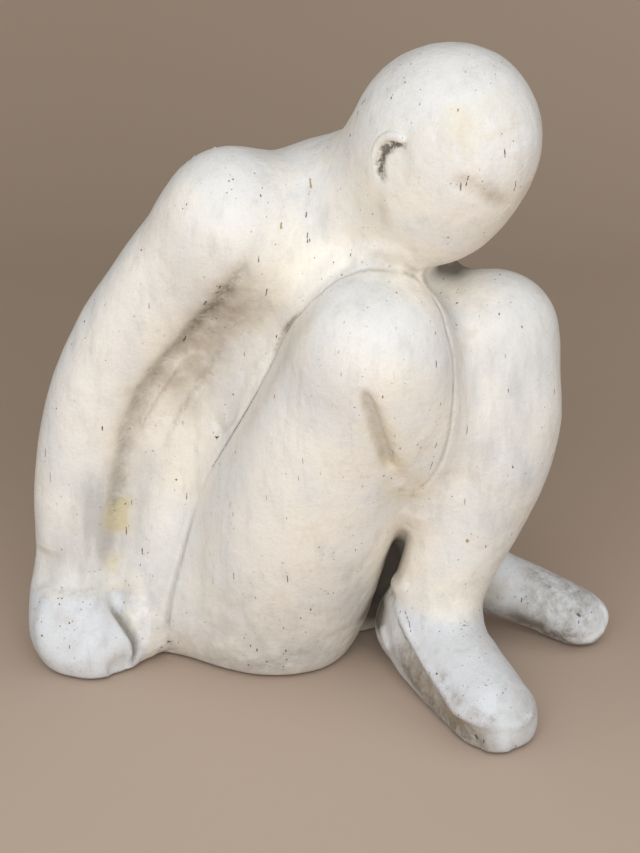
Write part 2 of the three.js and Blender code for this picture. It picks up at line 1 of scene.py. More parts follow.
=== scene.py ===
import math
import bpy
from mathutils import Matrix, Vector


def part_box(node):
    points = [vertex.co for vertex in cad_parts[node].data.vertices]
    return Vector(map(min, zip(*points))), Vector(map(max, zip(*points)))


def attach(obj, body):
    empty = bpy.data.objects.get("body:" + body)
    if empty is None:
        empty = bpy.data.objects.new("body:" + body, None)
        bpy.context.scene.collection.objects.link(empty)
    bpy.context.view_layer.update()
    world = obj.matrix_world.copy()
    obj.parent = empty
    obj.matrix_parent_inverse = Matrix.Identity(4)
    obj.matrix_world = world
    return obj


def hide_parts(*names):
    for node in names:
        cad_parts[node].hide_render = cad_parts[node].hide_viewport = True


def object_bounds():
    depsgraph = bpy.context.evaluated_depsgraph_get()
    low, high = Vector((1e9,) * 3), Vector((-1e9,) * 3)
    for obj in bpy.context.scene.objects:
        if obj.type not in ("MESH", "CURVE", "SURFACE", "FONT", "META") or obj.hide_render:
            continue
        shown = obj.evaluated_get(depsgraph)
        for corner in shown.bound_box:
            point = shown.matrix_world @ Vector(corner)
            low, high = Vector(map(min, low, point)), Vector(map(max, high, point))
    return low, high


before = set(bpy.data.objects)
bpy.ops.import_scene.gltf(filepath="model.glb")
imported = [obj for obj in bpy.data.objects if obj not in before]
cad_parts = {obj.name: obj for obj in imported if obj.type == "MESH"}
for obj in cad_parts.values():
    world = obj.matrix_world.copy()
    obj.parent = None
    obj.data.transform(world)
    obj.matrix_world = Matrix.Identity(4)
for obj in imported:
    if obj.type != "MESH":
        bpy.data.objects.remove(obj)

from concurrent.futures import ThreadPoolExecutor

import bpy
import numpy as np
from mathutils import Vector

# Seated figure sculpture, dressed over its cast sections. Shapes are in millimetres in the figure's own
# coordinates, as in the part's source. The finished pieces are in metres in the frame's coordinates.

solid_bounds = [list(map(float, corner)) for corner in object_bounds()]

METRE = 0.001

# Head and neck
skull_centre = (0, -180, 473)
skull_radii = (62, 69, 68)
skull_lean = -14
jaw_centre = (0, -159, 425)
jaw_radii = (50, 54, 54)
neck_base = (0, -46, 374)
neck_top = (0, -148, 456)
neck_base_radius = 42
neck_top_radius = 50
neck_bow = (0, 0, 2)
neck_cut = (0, -112, 424)
jaw_blend = 30
neck_blend = 46
head_blend = 44
head_drop = 92

# Ears
ear_centre = (-60, -184, 463)
ear_height = 42
ear_width = 43
ear_rim_radius = 4.8
ear_tail_radius = 2
ear_turn = 18
ear_start = 45
ear_end = 205
ear_sink = 0.8
ear_tail_sink = 2.4
ear_rings = 40
ear_ring_sides = 16
ear_search_start = 90.0
ear_search_rounds = 40
ear_search_step = 0.8

# Trunk
chest_centre = (0, -20, 305)
chest_radii = (94, 68, 112)
chest_lean = 24
belly_centre = (0, 14, 190)
belly_radii = (88, 84, 120)
belly_lean = 14
pelvis_centre = (0, 46, 50)
pelvis_radii = (131, 90, 92)
collar_start = (0, -70, 376)
collar_end = (46, -108, 300)
collar_start_radius = 40
collar_end_radius = 30
breast_end = (-86, -34, 368)
breast_radius = 42
breast_bow = (0, -38, -6)
flank_top = (-58, -24, 350)
flank_foot = (-100, 76, 42)
flank_top_radius = 32
flank_foot_radius = 46
flank_bow = (-7, 29, 0)
flank_swell = 6
ridge_top = (-38, -80, 352)
ridge_foot = (-102, 80, 0)
ridge_top_radius = 16
ridge_foot_radius = 24
ridge_bow = (-6, 31, 0)
ridge_peak = 0.67
trunk_blend = 60
flank_blend = 40
ridge_blend = 16
waist = (0, 30, 215)
waist_normal = (0, -0.2, 0.98)

# Arms
shoulder = (-94, -30, 393)
shoulder_radius = 48
shoulder_bar_radius = 46
shoulder_bar_bow = (0, 2, -12)
shoulder_swell = 2
wrist = (-166, 96, 62)
wrist_radius = 29
arm_bow = (-19, 42, 3)
arm_swell = 0
arm_blend = 24
web_top = (-104, 30, 290)
web_foot = (-142, 90, 80)
web_radius = 22
web_bow = (-7, 14, 0)
web_swell = 4
web_blend = 26
armpit = (-80, 12, 390)
arm_seam_foot = (-140, 12, 50)
arm_seam_depth = 320

# Hands
palm_end = (-164, 50, 18)
palm_start_radius = 31
palm_end_radius = 28
palm_bow = (-10, 4, -7)
palm_swell = 6
edge_start = (-172, 90, 46)
edge_end = (-182, 52, 16)
edge_start_radius = 30
edge_end_radius = 26
edge_bow = (-11, 1, -5)
edge_swell = 2
hand_blend = 12
wrist_blend = 14

# Right leg
right_seat = (-37, -9, 50)
right_knee = (-51, -149, 309)
right_ankle = (100, -78, 66)
right_heel = (112, -70, 46)
right_toe = (162, -166, 20)
right_seat_radius = 80
right_knee_radius = 52
right_ankle_radius = 34
right_heel_radius = 32
right_toe_radius = 25
right_thigh_bow = (-3, 4, 0)
right_thigh_swell = 9
right_shin_bow = (-16, -22, 22)
right_calf_swell = 5
right_arch = (0, 0, 4)
right_foot_swell = -2
right_knee_blend = 16
right_fold = (-35, -139, 272)
right_fold_radius = 50
right_fold_blend = 30

# Left leg
left_seat = (60, 24, 36)
left_knee = (67, -157, 294)
left_ankle = (30, -135, 67)
left_heel = (34, -112, 34)
left_toe = (-6, -246, 18)
left_seat_radius = 76
left_knee_radius = 46
left_ankle_radius = 36.5
left_heel_radius = 37
left_toe_radius = 33
left_thigh_bow = (0, 8, -7)
left_thigh_swell = 4
left_shin_bow = (6, -24, 2)
left_calf_swell = 3
left_foot_swell = 2
left_knee_blend = 20
ankle_blend = 22
calf_peak = 0.62
hip_share = 0.3

# The coat bridges the legs and the trunk, and rounds the edge that meets the ground
left_leg_bridge = 28
right_leg_bridge = 30
right_leg_open_bridge = 6
calf_bridge = (-12, -158, 176)
calf_bridge_size = 46
calf_bridge_reach = 1.5
leg_gap_top = 150
leg_gap_fade = 80
outer_side = -85
outer_side_fade = 15
chin_bridge = (-42, -150, 376)
chin_bridge_size = 52
chin_bridge_reach = 1.4
chin_bridge_width = 30
ground_round = 6

# Fineness of the skin
cell = 2.5
coarse_ratio = 4
half_diagonal = 0.87
limb_stations = 17
far_away = 90.0
stroke_reach = 3
stroke_ends = 6
relief_reach = 16
relief_margin = 3
slope_step = 0.25
settle_rounds = 2
settle_damping = 0.02
settle_range = 0.7 * cell
chunk = 20000
threads = 4
corner_steps = [(n & 1, n >> 1 & 1, n >> 2 & 1) for n in range(8)]
noise_table_size = 4096
noise_factors = (73856093, 19349663, 83492791)

# Waves of the skin: the depth, size and seed of each, and those of the rough places
waves = [(0.9, 46, 1), (0.45, 19, 2), (0.16, 8, 3)]
rough_depth = 0.8
rough_size = 6.5
rough_seed = 4
rough_limit = 0.05

# Camera: the photo's frame is taller than it is wide, so its height is the one that fits the sensor
camera_azimuth = math.radians(-40)
camera_elevation = math.radians(22)
camera_distance = 2.2
camera_aim = (-29.5, -60, 210.7)
camera_range = 20
focal_pixels = 2750
photo_height = 853
sensor_width = 36

# Sweep, in metres, which runs straight away from the camera
sweep_ahead = (math.sin(-camera_azimuth), math.cos(-camera_azimuth), 0)
sweep_right = (math.cos(-camera_azimuth), -math.sin(-camera_azimuth), 0)
sweep_front = -4.0
sweep_start = 1.0
sweep_radius = 0.9
sweep_steps = 24
sweep_top = 4.0
sweep_half_width = 5.0
floor_colour = (0.505, 0.402, 0.331, 1)
# Painted shade: the wall's colour is the floor paper in shade
shaded_wall_colour = (0.37, 0.286, 0.221, 1)

# Light: an even room and one large soft lamp in front, in metres and watts
room_colour = (0.985, 1, 0.975, 1)
room_strength = 0.62
lamp_place = (-1.8, -2.05, 1.45)
lamp_aim = (0, 0, 0.25)
lamp_size = 2.4
lamp_power = 57.5
lamp_colour = (1.0, 0.99, 0.985)

low_corner, high_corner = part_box("neck_dowel")
figure_shift = np.array((low_corner + high_corner) / 2) / METRE - np.array(neck_cut)


# Fields: each takes an array of places and gives their distances from the skin, negative inside

def blend(a, b, width):
    overlap = np.maximum(width - np.abs(a - b), 0) / width
    return np.minimum(a, b) - overlap * overlap * width * 0.25


def limb(start, end, start_radius, end_radius, bow=(0, 0, 0), swell=0, peak=0.5):
    start = np.array(start, float)
    run = np.array(end, float) - start
    bow = np.array(bow, float)
    power = math.log(0.5) / math.log(peak)

    def section(share):
        wave = np.sin(math.pi * share ** power)
        place = start + run * share[:, None] + bow * wave[:, None]
        return place, start_radius + (end_radius - start_radius) * share + swell * wave

    places, radii = section(np.linspace(0, 1, limb_stations))
    low = (places - radii[:, None]).min(0)
    high = (places + radii[:, None]).max(0)

    def field(points):
        outside = np.maximum(low - points.max(0), points.min(0) - high)
        if outside.max() > far_away:
            return np.full(len(points), far_away)
        squares = (points ** 2).sum(1)[:, None] - 2 * points @ places.T + (places ** 2).sum(1)
        gaps = np.sqrt(np.maximum(squares, 0)) - radii
        middle = np.clip(gaps.argmin(1), 1, limb_stations - 2)
        rows = np.arange(len(points))
        before = gaps[rows, middle - 1]
        after = gaps[rows, middle + 1]
        bend = np.maximum(before - 2 * gaps[rows, middle] + after, 1e-6)
        share = (middle + np.clip((before - after) / (2 * bend), -1, 1)) / (limb_stations - 1)
        place, radius = section(share)
        return np.sqrt(((points - place) ** 2).sum(1)) - radius

    return field


def egg(centre, radii, lean=0):
    cosine = math.cos(math.radians(lean))
    sine = math.sin(math.radians(lean))
    centre = np.array(centre, float)

    def field(points):
        x, y, z = (points - centre).T
        ex = x / radii[0]
        ey = (cosine * y + sine * z) / radii[1]
        ez = (cosine * z - sine * y) / radii[2]
        size = np.sqrt(ex * ex + ey * ey + ez * ez)
        slope = np.sqrt((ex / radii[0]) ** 2 + (ey / radii[1]) ** 2 + (ez / radii[2]) ** 2)
        return size * (size - 1) / np.maximum(slope, 1e-6)

    return field


def mirrored(point):
    return (-point[0], point[1], point[2])


def distances(points, centre):
    return np.sqrt(((points - np.array(centre)) ** 2).sum(1))


skull = egg(skull_centre, skull_radii, skull_lean)
jaw = egg(jaw_centre, jaw_radii)
neck = limb(neck_base, neck_top, neck_base_radius, neck_top_radius, neck_bow)
chest = egg(chest_centre, chest_radii, chest_lean)
belly = egg(belly_centre, belly_radii, belly_lean)
pelvis = egg(pelvis_centre, pelvis_radii)
shoulder_bar = limb(
    shoulder, mirrored(shoulder), shoulder_bar_radius, shoulder_bar_radius, shoulder_bar_bow, shoulder_swell
)
breast = limb(breast_end, mirrored(breast_end), breast_radius, breast_radius, breast_bow, shoulder_swell)
collar = limb(collar_start, collar_end, collar_start_radius, collar_end_radius)
flank = limb(flank_top, flank_foot, flank_top_radius, flank_foot_radius, flank_bow, flank_swell)
ridge = limb(ridge_top, ridge_foot, ridge_top_radius, ridge_foot_radius, ridge_bow, peak=ridge_peak)
web = limb(web_top, web_foot, web_radius, web_radius, web_bow, web_swell)
arm = limb(shoulder, wrist, shoulder_radius, wrist_radius, arm_bow, arm_swell)
palm = limb(wrist, palm_end, palm_start_radius, palm_end_radius, palm_bow, palm_swell)
hand_edge = limb(edge_start, edge_end, edge_start_radius, edge_end_radius, edge_bow, edge_swell)
right_thigh = limb(
    right_seat, right_knee, right_seat_radius, right_knee_radius, right_thigh_bow, right_thigh_swell
)
right_shin = limb(
    right_ankle, right_knee, right_ankle_radius, right_knee_radius, right_shin_bow, right_calf_swell, calf_peak
)
right_knee_pad = limb(right_knee, right_fold, right_knee_radius, right_fold_radius)
right_foot = limb(
    right_heel, right_toe, right_heel_radius, right_toe_radius, right_arch, right_foot_swell
)
left_thigh = limb(left_seat, left_knee, left_seat_radius, left_knee_radius, left_thigh_bow, left_thigh_swell)
left_shin = limb(
    left_ankle, left_knee, left_ankle_radius, left_knee_radius, left_shin_bow, left_calf_swell, calf_peak
)
left_foot = limb(left_heel, left_toe, left_heel_radius, left_toe_radius, swell=left_foot_swell)


def torso_field(points):
    sided = points * (-1, 1, 1)
    sided[:, 0] = -np.abs(points[:, 0])
    torso = blend(pelvis(points), belly(points), trunk_blend)
    torso = blend(torso, chest(points), trunk_blend)
    torso = blend(torso, shoulder_bar(points), flank_blend)
    torso = blend(torso, breast(points), flank_blend)
    torso = blend(torso, flank(sided), flank_blend)
    torso = blend(torso, web(sided), web_blend)
    torso = blend(torso, ridge(sided), ridge_blend)
    torso = blend(torso, collar(points), flank_blend)
    torso = blend(torso, neck(points), neck_blend)
    hand = blend(palm(sided), hand_edge(sided), hand_blend)
    return blend(torso, blend(arm(sided), hand, wrist_blend), arm_blend)


def head_field(points):
    return blend(skull(points), jaw(points), jaw_blend)


def right_leg_field(points):
    leg = blend(right_thigh(points), right_knee_pad(points), right_fold_blend)
    leg = blend(leg, right_shin(points), right_knee_blend)
    return blend(leg, right_foot(points), ankle_blend)


def left_leg_field(points):
    return blend(blend(left_thigh(points), left_shin(points), left_knee_blend), left_foot(points), ankle_blend)


def body_fields(points):
    """The trunk with the head, the two legs, and the skin that bridges them all."""
    torso = torso_field(points)
    trunk = blend(torso, head_field(points), head_blend)
    right = right_leg_field(points)
    left = left_leg_field(points)
    near_calf = calf_bridge_reach - distances(points, calf_bridge) / calf_bridge_size
    above_gap = (points[:, 2] - leg_gap_top) / leg_gap_fade
    outside = (outer_side - points[:, 0]) / outer_side_fade
    bridged = np.clip(np.maximum(near_calf, np.maximum(above_gap, outside)), 0, 1)
    width = right_leg_open_bridge + (right_leg_bridge - right_leg_open_bridge) * bridged
    dressed = blend(blend(torso, left, left_leg_bridge), right, width)
    away = distances(points, chin_bridge) / chin_bridge_size
    width = 1 + chin_bridge_width * np.clip(chin_bridge_reach - away, 0, 1)
    under_chin = blend(trunk, right, width)
    return trunk, right, left, np.minimum(np.minimum(trunk, under_chin), dressed)


# Strokes: marks along routes over the skin, in or on the coat

def stroke(points, route, width):
    """A mark between 0 and 1 along a route. It is full on the route and fades sideways and at both ends."""
    route = np.array(route, float)
    reach = stroke_reach * width
    near = np.all((points > route.min(0) - reach) & (points < route.max(0) + reach), axis=1)
    result = np.zeros(len(points))
    if not near.any():
        return result
    places = points[near]
    lengths = np.sqrt(((route[1:] - route[:-1]) ** 2).sum(1))
    marks = np.concatenate([[0], lengths.cumsum()])
    nearest = np.full(len(places), 1e9)
    along = np.zeros(len(places))
    for start, end, length, mark in zip(route[:-1], route[1:], lengths, marks):
        axis = (end - start) / length
        run = np.clip((places - start) @ axis, 0, length)
        gap = ((places - start - run[:, None] * axis) ** 2).sum(1)
        closer = gap < nearest
        nearest[closer] = gap[closer]
        along[closer] = mark + run[closer]
    share = along / marks[-1]
    result[near] = np.clip(stroke_ends * share * (1 - share), 0, 1) * np.exp(-nearest / width ** 2)
    return result


def strokes(points, marks):
    return sum(amount * stroke(points, route, width) for route, width, amount in marks)


def waviness(points, size, seed):
    """Smooth seeded noise between -1 and 1, with bumps of about the given size."""
    table = np.random.default_rng(seed).uniform(-1, 1, noise_table_size)
    scaled = points / size
    base = np.floor(scaled).astype(np.int64)
    part = scaled - base
    part = part * part * (3 - 2 * part)
    total = np.zeros(len(points))
    for steps in np.array(corner_steps):
        keys = (base + steps) @ np.array(noise_factors)
        weight = np.prod(np.where(steps == 1, part, 1 - part), axis=1)
        total += table[keys & noise_table_size - 1] * weight
    return total


mouth = [(-46, -224, 459), (-37, -232, 454), (-25, -237, 447), (-7, -238, 435), (6, -234, 428)]
temple = [(-5, -245, 495), (-3, -249, 477)]
ear_groove = [(-65, -174, 446), (-66, -170, 459), (-66, -173, 471), (-64, -184, 479), (-61, -195, 478)]
ear_streak = [(-64, -172, 444), (-58, -167, 424), (-52, -163, 404)]
armpit_groove = [
    (-107, -85, 396), (-115, -81, 377), (-122, -70, 357), (-123, -52, 336), (-122, -28, 313), (-126, -9, 289),
    (-136, 8, 267), (-143, 21, 246), (-146, 33, 222), (-148, 44, 189), (-150, 52, 152), (-157, 59, 89),
    (-163, 56, 66),
]
armpit_shade = [(-107, -84, 372), (-112, -64, 338), (-109, -24, 293), (-117, 1, 253), (-124, 19, 215)]
armpit_seam = [(-122, -1, 274), (-132, 19, 241), (-138, 31, 217), (-138, 37, 196)]
flank_seam = [(-100, -41, 304), (-107, -12, 262), (-115, 12, 223), (-122, 27, 187)]
thigh_line = [
    (-109, 0, 149), (-107, -6, 164), (-106, -16, 182), (-104, -32, 207), (-103, -50, 233), (-98, -64, 259),
    (-91, -70, 277), (-85, -73, 292), (-83, -82, 310), (-90, -109, 334), (-85, -125, 353), (-71, -130, 364),
    (-60, -141, 371), (-50, -153, 374), (-39, -166, 374), (-25, -170, 366), (-19, -180, 357), (-18, -187, 343),
    (-21, -198, 329), (-17, -201, 310),
]
knee_line = thigh_line[-6:] + [
    (-15, -202, 293), (-16, -202, 267), (-16, -199, 245), (-16, -190, 220), (-17, -179, 201), (-19, -166, 185),
]
seat_seam = [
    (-109, 0, 149), (-112, 5, 131), (-117, 8, 108), (-123, 11, 85), (-128, 13, 64), (-129, 15, 47),
    (-126, 20, 21), (-118, 27, 5),
]
wrist_side = [(-195, 94, 99), (-198, 93, 78), (-202, 86, 67)]
flank_band = [(-147, 44, 92), (-146, 34, 62), (-142, 29, 36), (-134, 28, 12), (-120, 27, 6)]
flank_side = [
    (-122, 23, 206), (-129, 35, 183), (-134, 43, 150), (-138, 48, 114), (-144, 49, 71), (-149, 27, 30),
]
calf_fold = [(-96, -188, 300), (-84, -188, 271), (-74, -185, 250), (-58, -177, 222), (-40, -168, 196)]
fold_core = [
    (-96, -189, 300), (-91, -189, 287), (-86, -188, 274), (-79, -186, 259), (-69, -183, 241),
    (-54, -175, 217),
]
fold_bed = [
    (-92, -184, 298), (-88, -185, 285), (-82, -184, 272), (-75, -182, 256), (-65, -178, 238),
    (-50, -170, 214),
]
fold_foot = [(-40, -168, 198), (-24, -165, 188), (-12, -162, 176)]
wrist_seam = [(-200, 83, 70), (-195, 70, 68), (-184, 61, 67), (-164, 56, 65)]
hand_seam = [(-160, 54, 64), (-160, 42, 47), (-159, 30, 37), (-156, 25, 27), (-156, 23, 18), (-160, 26, 4)]
hand_corner = [(-160, 23, 13), (-173, 23, 11), (-183, 26, 6)]
hand_left = [(-198, 77, 70), (-215, 76, 42), (-216, 64, 13)]
hand_right = [(-168, 53, 60), (-187, 34, 38), (-210, 46, 11)]
hand_front = [(-198, 58, 52), (-208, 52, 34), (-208, 44, 18)]
arm_inside = [(-170, 54, 183), (-166, 58, 145), (-164, 61, 108), (-168, 61, 78)]
thigh_foot = [(-105, 11, 4), (-100, -43, 15), (-74, -76, 25), (-40, -91, 36)]
thigh_end = [(-65, -132, 129), (-31, -110, 76), (-20, -96, 40)]
left_coat_edge = [
    (-6, -126, 72), (-9, -138, 60), (-12, -150, 51), (-18, -171, 44), (-28, -204, 35), (-36, -231, 26),
    (-37, -250, 27), (-30, -267, 25), (-12, -277, 24), (3, -277, 28), (14, -268, 33),
]
left_foot_side = [
    (-8, -120, 37), (-15, -146, 28), (-23, -176, 18), (-28, -206, 9), (-36, -238, 7), (-33, -263, 8),
    (-20, -274, 9),
]
left_foot_band = [
    (-9, -129, 50), (-17, -158, 37), (-27, -191, 25), (-34, -220, 16), (-38, -252, 15), (-25, -273, 13),
]
toe_end = [(-34, -259, 7), (-25, -271, 7), (-15, -276, 9)]
heel_roll = [(8, -110, 88), (2, -117, 83), (-2, -126, 84), (-1, -140, 90)]
heel_notch = [(6, -104, 74), (0, -116, 73), (-4, -125, 72)]
heel_rim = [(-3, -107, 45), (-5, -112, 36), (-9, -124, 28)]
right_lip = [(134, -168, 11), (145, -182, 9), (156, -190, 10), (169, -191, 16), (175, -187, 24)]
right_toe_end = [(172, -188, 27), (178, -178, 24)]
right_foot_side = [(84, -104, 24), (110, -130, 14), (136, -165, 8), (160, -188, 6)]
right_arch_side = [(115, -129, 25), (125, -149, 20), (134, -164, 14)]
right_ankle_side = [(90, -110, 62), (108, -116, 46), (112, -126, 34)]
leg_gap = [(-9, -121, 122), (27, -80, 84), (29, -70, 58), (35, -54, 25), (37, -44, 3)]
leg_gap_foot = [(6, -101, 64), (2, -99, 52), (-4, -92, 34)]
chin_shade = [(22, -136, 354), (34, -130, 350), (47, -131, 345), (60, -124, 345), (72, -112, 345)]
neck_side = [(-65, -151, 455), (-61, -151, 428), (-50, -145, 397)]
shoulder_front = [(-62, -76, 426), (-64, -98, 404), (-65, -105, 378)]
collar_band = [
    (-26, -184, 384), (-41, -167, 389), (-47, -144, 386), (-53, -121, 375), (-71, -113, 361),
    (-84, -101, 340), (-82, -76, 311), (-86, -60, 283), (-93, -53, 260), (-100, -46, 237), (-105, -37, 212),
]
thigh_edge = [
    (-76, -146, 364), (-91, -141, 354), (-104, -129, 331), (-101, -101, 293), (-106, -87, 266),
    (-112, -70, 234), (-115, -59, 213),
]
arm_front = [
    (-149, -20, 394), (-156, 5, 360), (-168, 23, 318), (-177, 43, 265), (-182, 58, 211), (-185, 68, 165),
]
arm_low = [(-165, 55, 164), (-163, 60, 117), (-171, 62, 78), (-186, 74, 92), (-187, 73, 128)]
thigh_front = [(-110, -147, 280), (-114, -125, 242), (-118, -103, 186), (-115, -86, 128), (-109, -76, 87)]
left_shin_front = [(56, -188, 333), (37, -203, 276), (33, -209, 229), (37, -209, 177), (53, -188, 114)]
head_front = [(-44, -211, 510), (-42, -226, 494), (-36, -236, 473)]
arm_top = [(-126, -41, 434), (-143, -31, 415), (-150, -15, 388), (-156, 5, 360)]
hip_low = [(-131, 32, 91), (-136, 30, 66), (-136, 28, 44)]
knee_top = [(-87, -157, 357), (-69, -168, 364), (-61, -190, 352)]

# Each mark is a route, its width, and its depth, which is negative where it is raised
relief_marks = [
    (mouth, 7, 2.6),
    (temple, 12, 1.2),
    (ear_groove, 3.6, 4.4),
    (armpit_groove, 8, 4.2),
    (armpit_seam, 2.6, -2.2),
    (flank_seam, 2.6, -1.6),
    (thigh_line, 2.2, 2.1),
    (knee_line, 2.2, 1.9),
    (seat_seam, 2.6, 2.2),
    (collar_band, 7, -1.8),
    (flank_band, 13, -6.5),
    (calf_fold, 6.5, 5.5),
    (fold_bed, 4.0, 6.5),
    (wrist_seam, 3.2, 1.8),
    (wrist_side, 13, 4.0),
    (hand_seam, 3.6, 6.0),
    (hand_corner, 10, 5.0),
    (hand_left, 7, -2.4),
    (hand_right, 7, -2.4),
    (hand_front, 11, 2.6),
    (left_coat_edge, 3.4, -4.4),
    (left_foot_band, 9, 5.0),
    (toe_end, 13, -3.6),
    (heel_roll, 6, -4.2),
    (heel_notch, 4.5, 3.2),
    (heel_rim, 5, -3.6),
    (right_foot_side, 8, 2.6),
    (right_lip, 3.6, -3.2),
    (right_toe_end, 9, -4.0),
]

rough_marks = [
    (left_foot_side, 9, 1.0),
    (left_foot_band, 9, 1.0),
    (right_foot_side, 18, 1.0),
    ([(125, -128, 58), (139, -145, 54), (148, -168, 43), (156, -182, 34), (168, -189, 24)], 22, 1.1),
    ([(-18, -190, 46), (-32, -225, 34), (-30, -262, 30), (-5, -276, 30)], 8, 0.8),
    (armpit_groove, 9, 0.5),
    ([(-70, -60, 436), (-110, -60, 424)], 18, 0.4),
    (thigh_foot, 18, 0.45),
]


def relief(points):
    waved = sum(depth * waviness(points, size, seed) for depth, size, seed in waves)
    pitted = strokes(points, rough_marks)
    is_rough = pitted > rough_limit
    rough = np.zeros(len(points))
    rough[is_rough] = waviness(points[is_rough], rough_size, rough_seed)
    return waved + rough_depth * pitted * rough + strokes(points, relief_marks)


# Joints between the castings, as functions that are positive on the far side

def unit(vector):
    vector = np.array(vector, float)
    return vector / np.linalg.norm(vector)


def height_over(points, point, normal):
    return (points - np.array(point, float)) @ np.array(normal, float)


def leg_planes(seat, knee, ankle):
    thigh_axis = unit(np.subtract(knee, seat))
    shin_axis = unit(np.subtract(ankle, knee))
    hip = np.add(seat, hip_share * np.subtract(knee, seat))
    return (hip, thigh_axis), (knee, unit(thigh_axis + shin_axis)), (ankle, shin_axis)


right_planes = leg_planes(right_seat, right_knee, right_ankle)
left_planes = leg_planes(left_seat, left_knee, left_ankle)
neck_axis = unit(np.subtract(neck_top, neck_base))
neck_upright = (0, neck_axis[2], -neck_axis[1])
arm_seam_axis = unit(np.subtract(armpit, arm_seam_foot))
arm_normal = (-arm_seam_axis[2], 0, arm_seam_axis[0])

measures = [
    "skin", "leg", "side", "middle", "neck", "nape", "waist", "arm", "arm_front", "wrist",
    "right_hip", "right_knee", "right_ankle", "left_hip", "left_knee", "left_ankle",
]


def measure(points):
    """Every field of the figure at the given places, one row for each name in measures."""
    trunk, right, left, skin = body_fields(points)
    near = np.abs(skin) < relief_reach
    skin[near] += relief(points[near])
    skin = -blend(-skin, points[:, 2], ground_round)
    sided = points.copy()
    sided[:, 0] = -np.abs(points[:, 0])
    rows = [
        skin,
        (np.minimum(right, left) - np.maximum(trunk, 0)) / 2,
        (right - left) / 2,
        points[:, 0],
        -height_over(points, neck_cut, neck_axis),
        -height_over(points, neck_cut, neck_upright) - head_drop,
        height_over(points, waist, waist_normal),
        -height_over(sided, armpit, arm_normal),
        np.abs(points[:, 1] - armpit[1]) - arm_seam_depth / 2,
        points[:, 2] - wrist[2],
    ]
    for planes in (right_planes, left_planes):
        rows += [height_over(points, point, normal) for point, normal in planes]
    return np.array(rows)


def measure_all(points):
    chunks = [points[i:i + chunk] for i in range(0, len(points), chunk)]
    with ThreadPoolExecutor(threads) as pool:
        return np.concatenate(list(pool.map(measure, chunks)), axis=1)


# Regions: each is a pair of its value, negative inside, and the number of the field that gives that value

def single(rows, name, sign=1):
    index = measures.index(name)
    return sign * rows[index], np.full(rows[index].shape, index, np.int8)


def common(*regions):
    value, kind = regions[0]
    for other, other_kind in regions[1:]:
        kind = np.where(other > value, other_kind, kind)
        value = np.maximum(value, other)
    return value, kind


def either(*regions):
    return flipped(common(*[flipped(region) for region in regions]))


def flipped(region):
    return -region[0], region[1]


def leg_region(rows, side, part):
    own_side = single(rows, "side", 1 if side == "right" else -1)
    leg = common(single(rows, "leg"), own_side)
    knee = single(rows, f"{side}_knee")
    hip = single(rows, f"{side}_hip")
    ankle = single(rows, f"{side}_ankle")
    cuts = {
        "seat": (knee, hip),
        "thigh": (knee, flipped(hip)),
        "shin": (flipped(knee), ankle),
        "foot": (flipped(knee), flipped(ankle)),
    }
    return common(leg, *cuts[part])


def arm_region(rows):
    return common(single(rows, "arm"), single(rows, "arm_front"), flipped(single(rows, "leg")))


def casting(rows, name):
    skin = single(rows, "skin")
    side, _, part = name.partition("_")
    if part in ("thigh", "shin", "foot"):
        return common(skin, leg_region(rows, side, part))
    if part in ("arm", "hand"):
        own_half = single(rows, "middle", 1 if side == "right" else -1)
        wrist_side = single(rows, "wrist", 1 if part == "hand" else -1)
        return common(skin, arm_region(rows), own_half, wrist_side)
    head = common(single(rows, "neck"), single(rows, "nape"), flipped(single(rows, "leg")))
    if name == "head":
        return common(skin, head)
    right_seats = leg_region(rows, "right", "seat")
    left_seats = leg_region(rows, "left", "seat")
    seats = either(flipped(single(rows, "leg")), right_seats, left_seats)
    waist_side = single(rows, "waist", -1 if name == "chest" else 1)
    return common(skin, seats, waist_side, flipped(head), flipped(arm_region(rows)))


casting_names = [
    "head", "chest", "hips", "right_arm", "left_arm", "right_hand", "left_hand", "right_thigh", "left_thigh",
    "right_shin", "left_shin", "right_foot", "left_foot",
]


# Net: one point for each lattice cell that a casting's surface passes through. A point lies on the skin, on
# the joint faces that pass through its cell, or on the line where they meet.

def lattice(low, counts, step):
    grids = np.meshgrid(*[low[k] + step * np.arange(counts[k]) for k in range(3)], indexing="ij")
    return np.stack([grid.ravel() for grid in grids], axis=1)


coarse_cell = cell * coarse_ratio
lattice_low = np.array(solid_bounds[0]) / METRE - figure_shift - 2 * coarse_cell
lattice_low[2] = -3.5 * cell
lattice_span = np.array(solid_bounds[1]) / METRE - figure_shift + 2 * coarse_cell - lattice_low
coarse_counts = np.ceil(lattice_span / coarse_cell).astype(int) + 1
counts = (coarse_counts - 1) * coarse_ratio + 1


def nearby(values, reach):
    """Coarse cells that have a corner within the reach of a surface."""
    close = np.abs(values) < reach
    cells = np.zeros(np.array(close.shape) - 1, bool)
    for i, j, k in corner_steps:
        cells |= close[i:i + cells.shape[0], j:j + cells.shape[1], k:k + cells.shape[2]]
    return cells


def sampled_rows():
    coarse = measure_all(lattice(lattice_low, coarse_counts, coarse_cell)).astype(np.float32)
    coarse = coarse.reshape(-1, *coarse_counts)
    wanted = np.zeros(coarse_counts - 1, bool)
    for name in casting_names:
        wanted |= nearby(casting(coarse, name)[0], half_diagonal * coarse_cell + relief_margin)
    for axis in range(3):
        wanted = wanted.repeat(coarse_ratio, axis=axis)
    fine = np.zeros(counts, bool)
    for i, j, k in corner_steps:
        fine[i:i + wanted.shape[0], j:j + wanted.shape[1], k:k + wanted.shape[2]] |= wanted
    rows = coarse
    for axis in range(3):
        spread = np.rint(np.arange(counts[axis]) / coarse_ratio).astype(int)
        rows = rows.take(spread, axis=axis + 1)
    places = np.argwhere(fine) * cell + lattice_low
    rows[:, fine] = measure_all(places)
    return rows


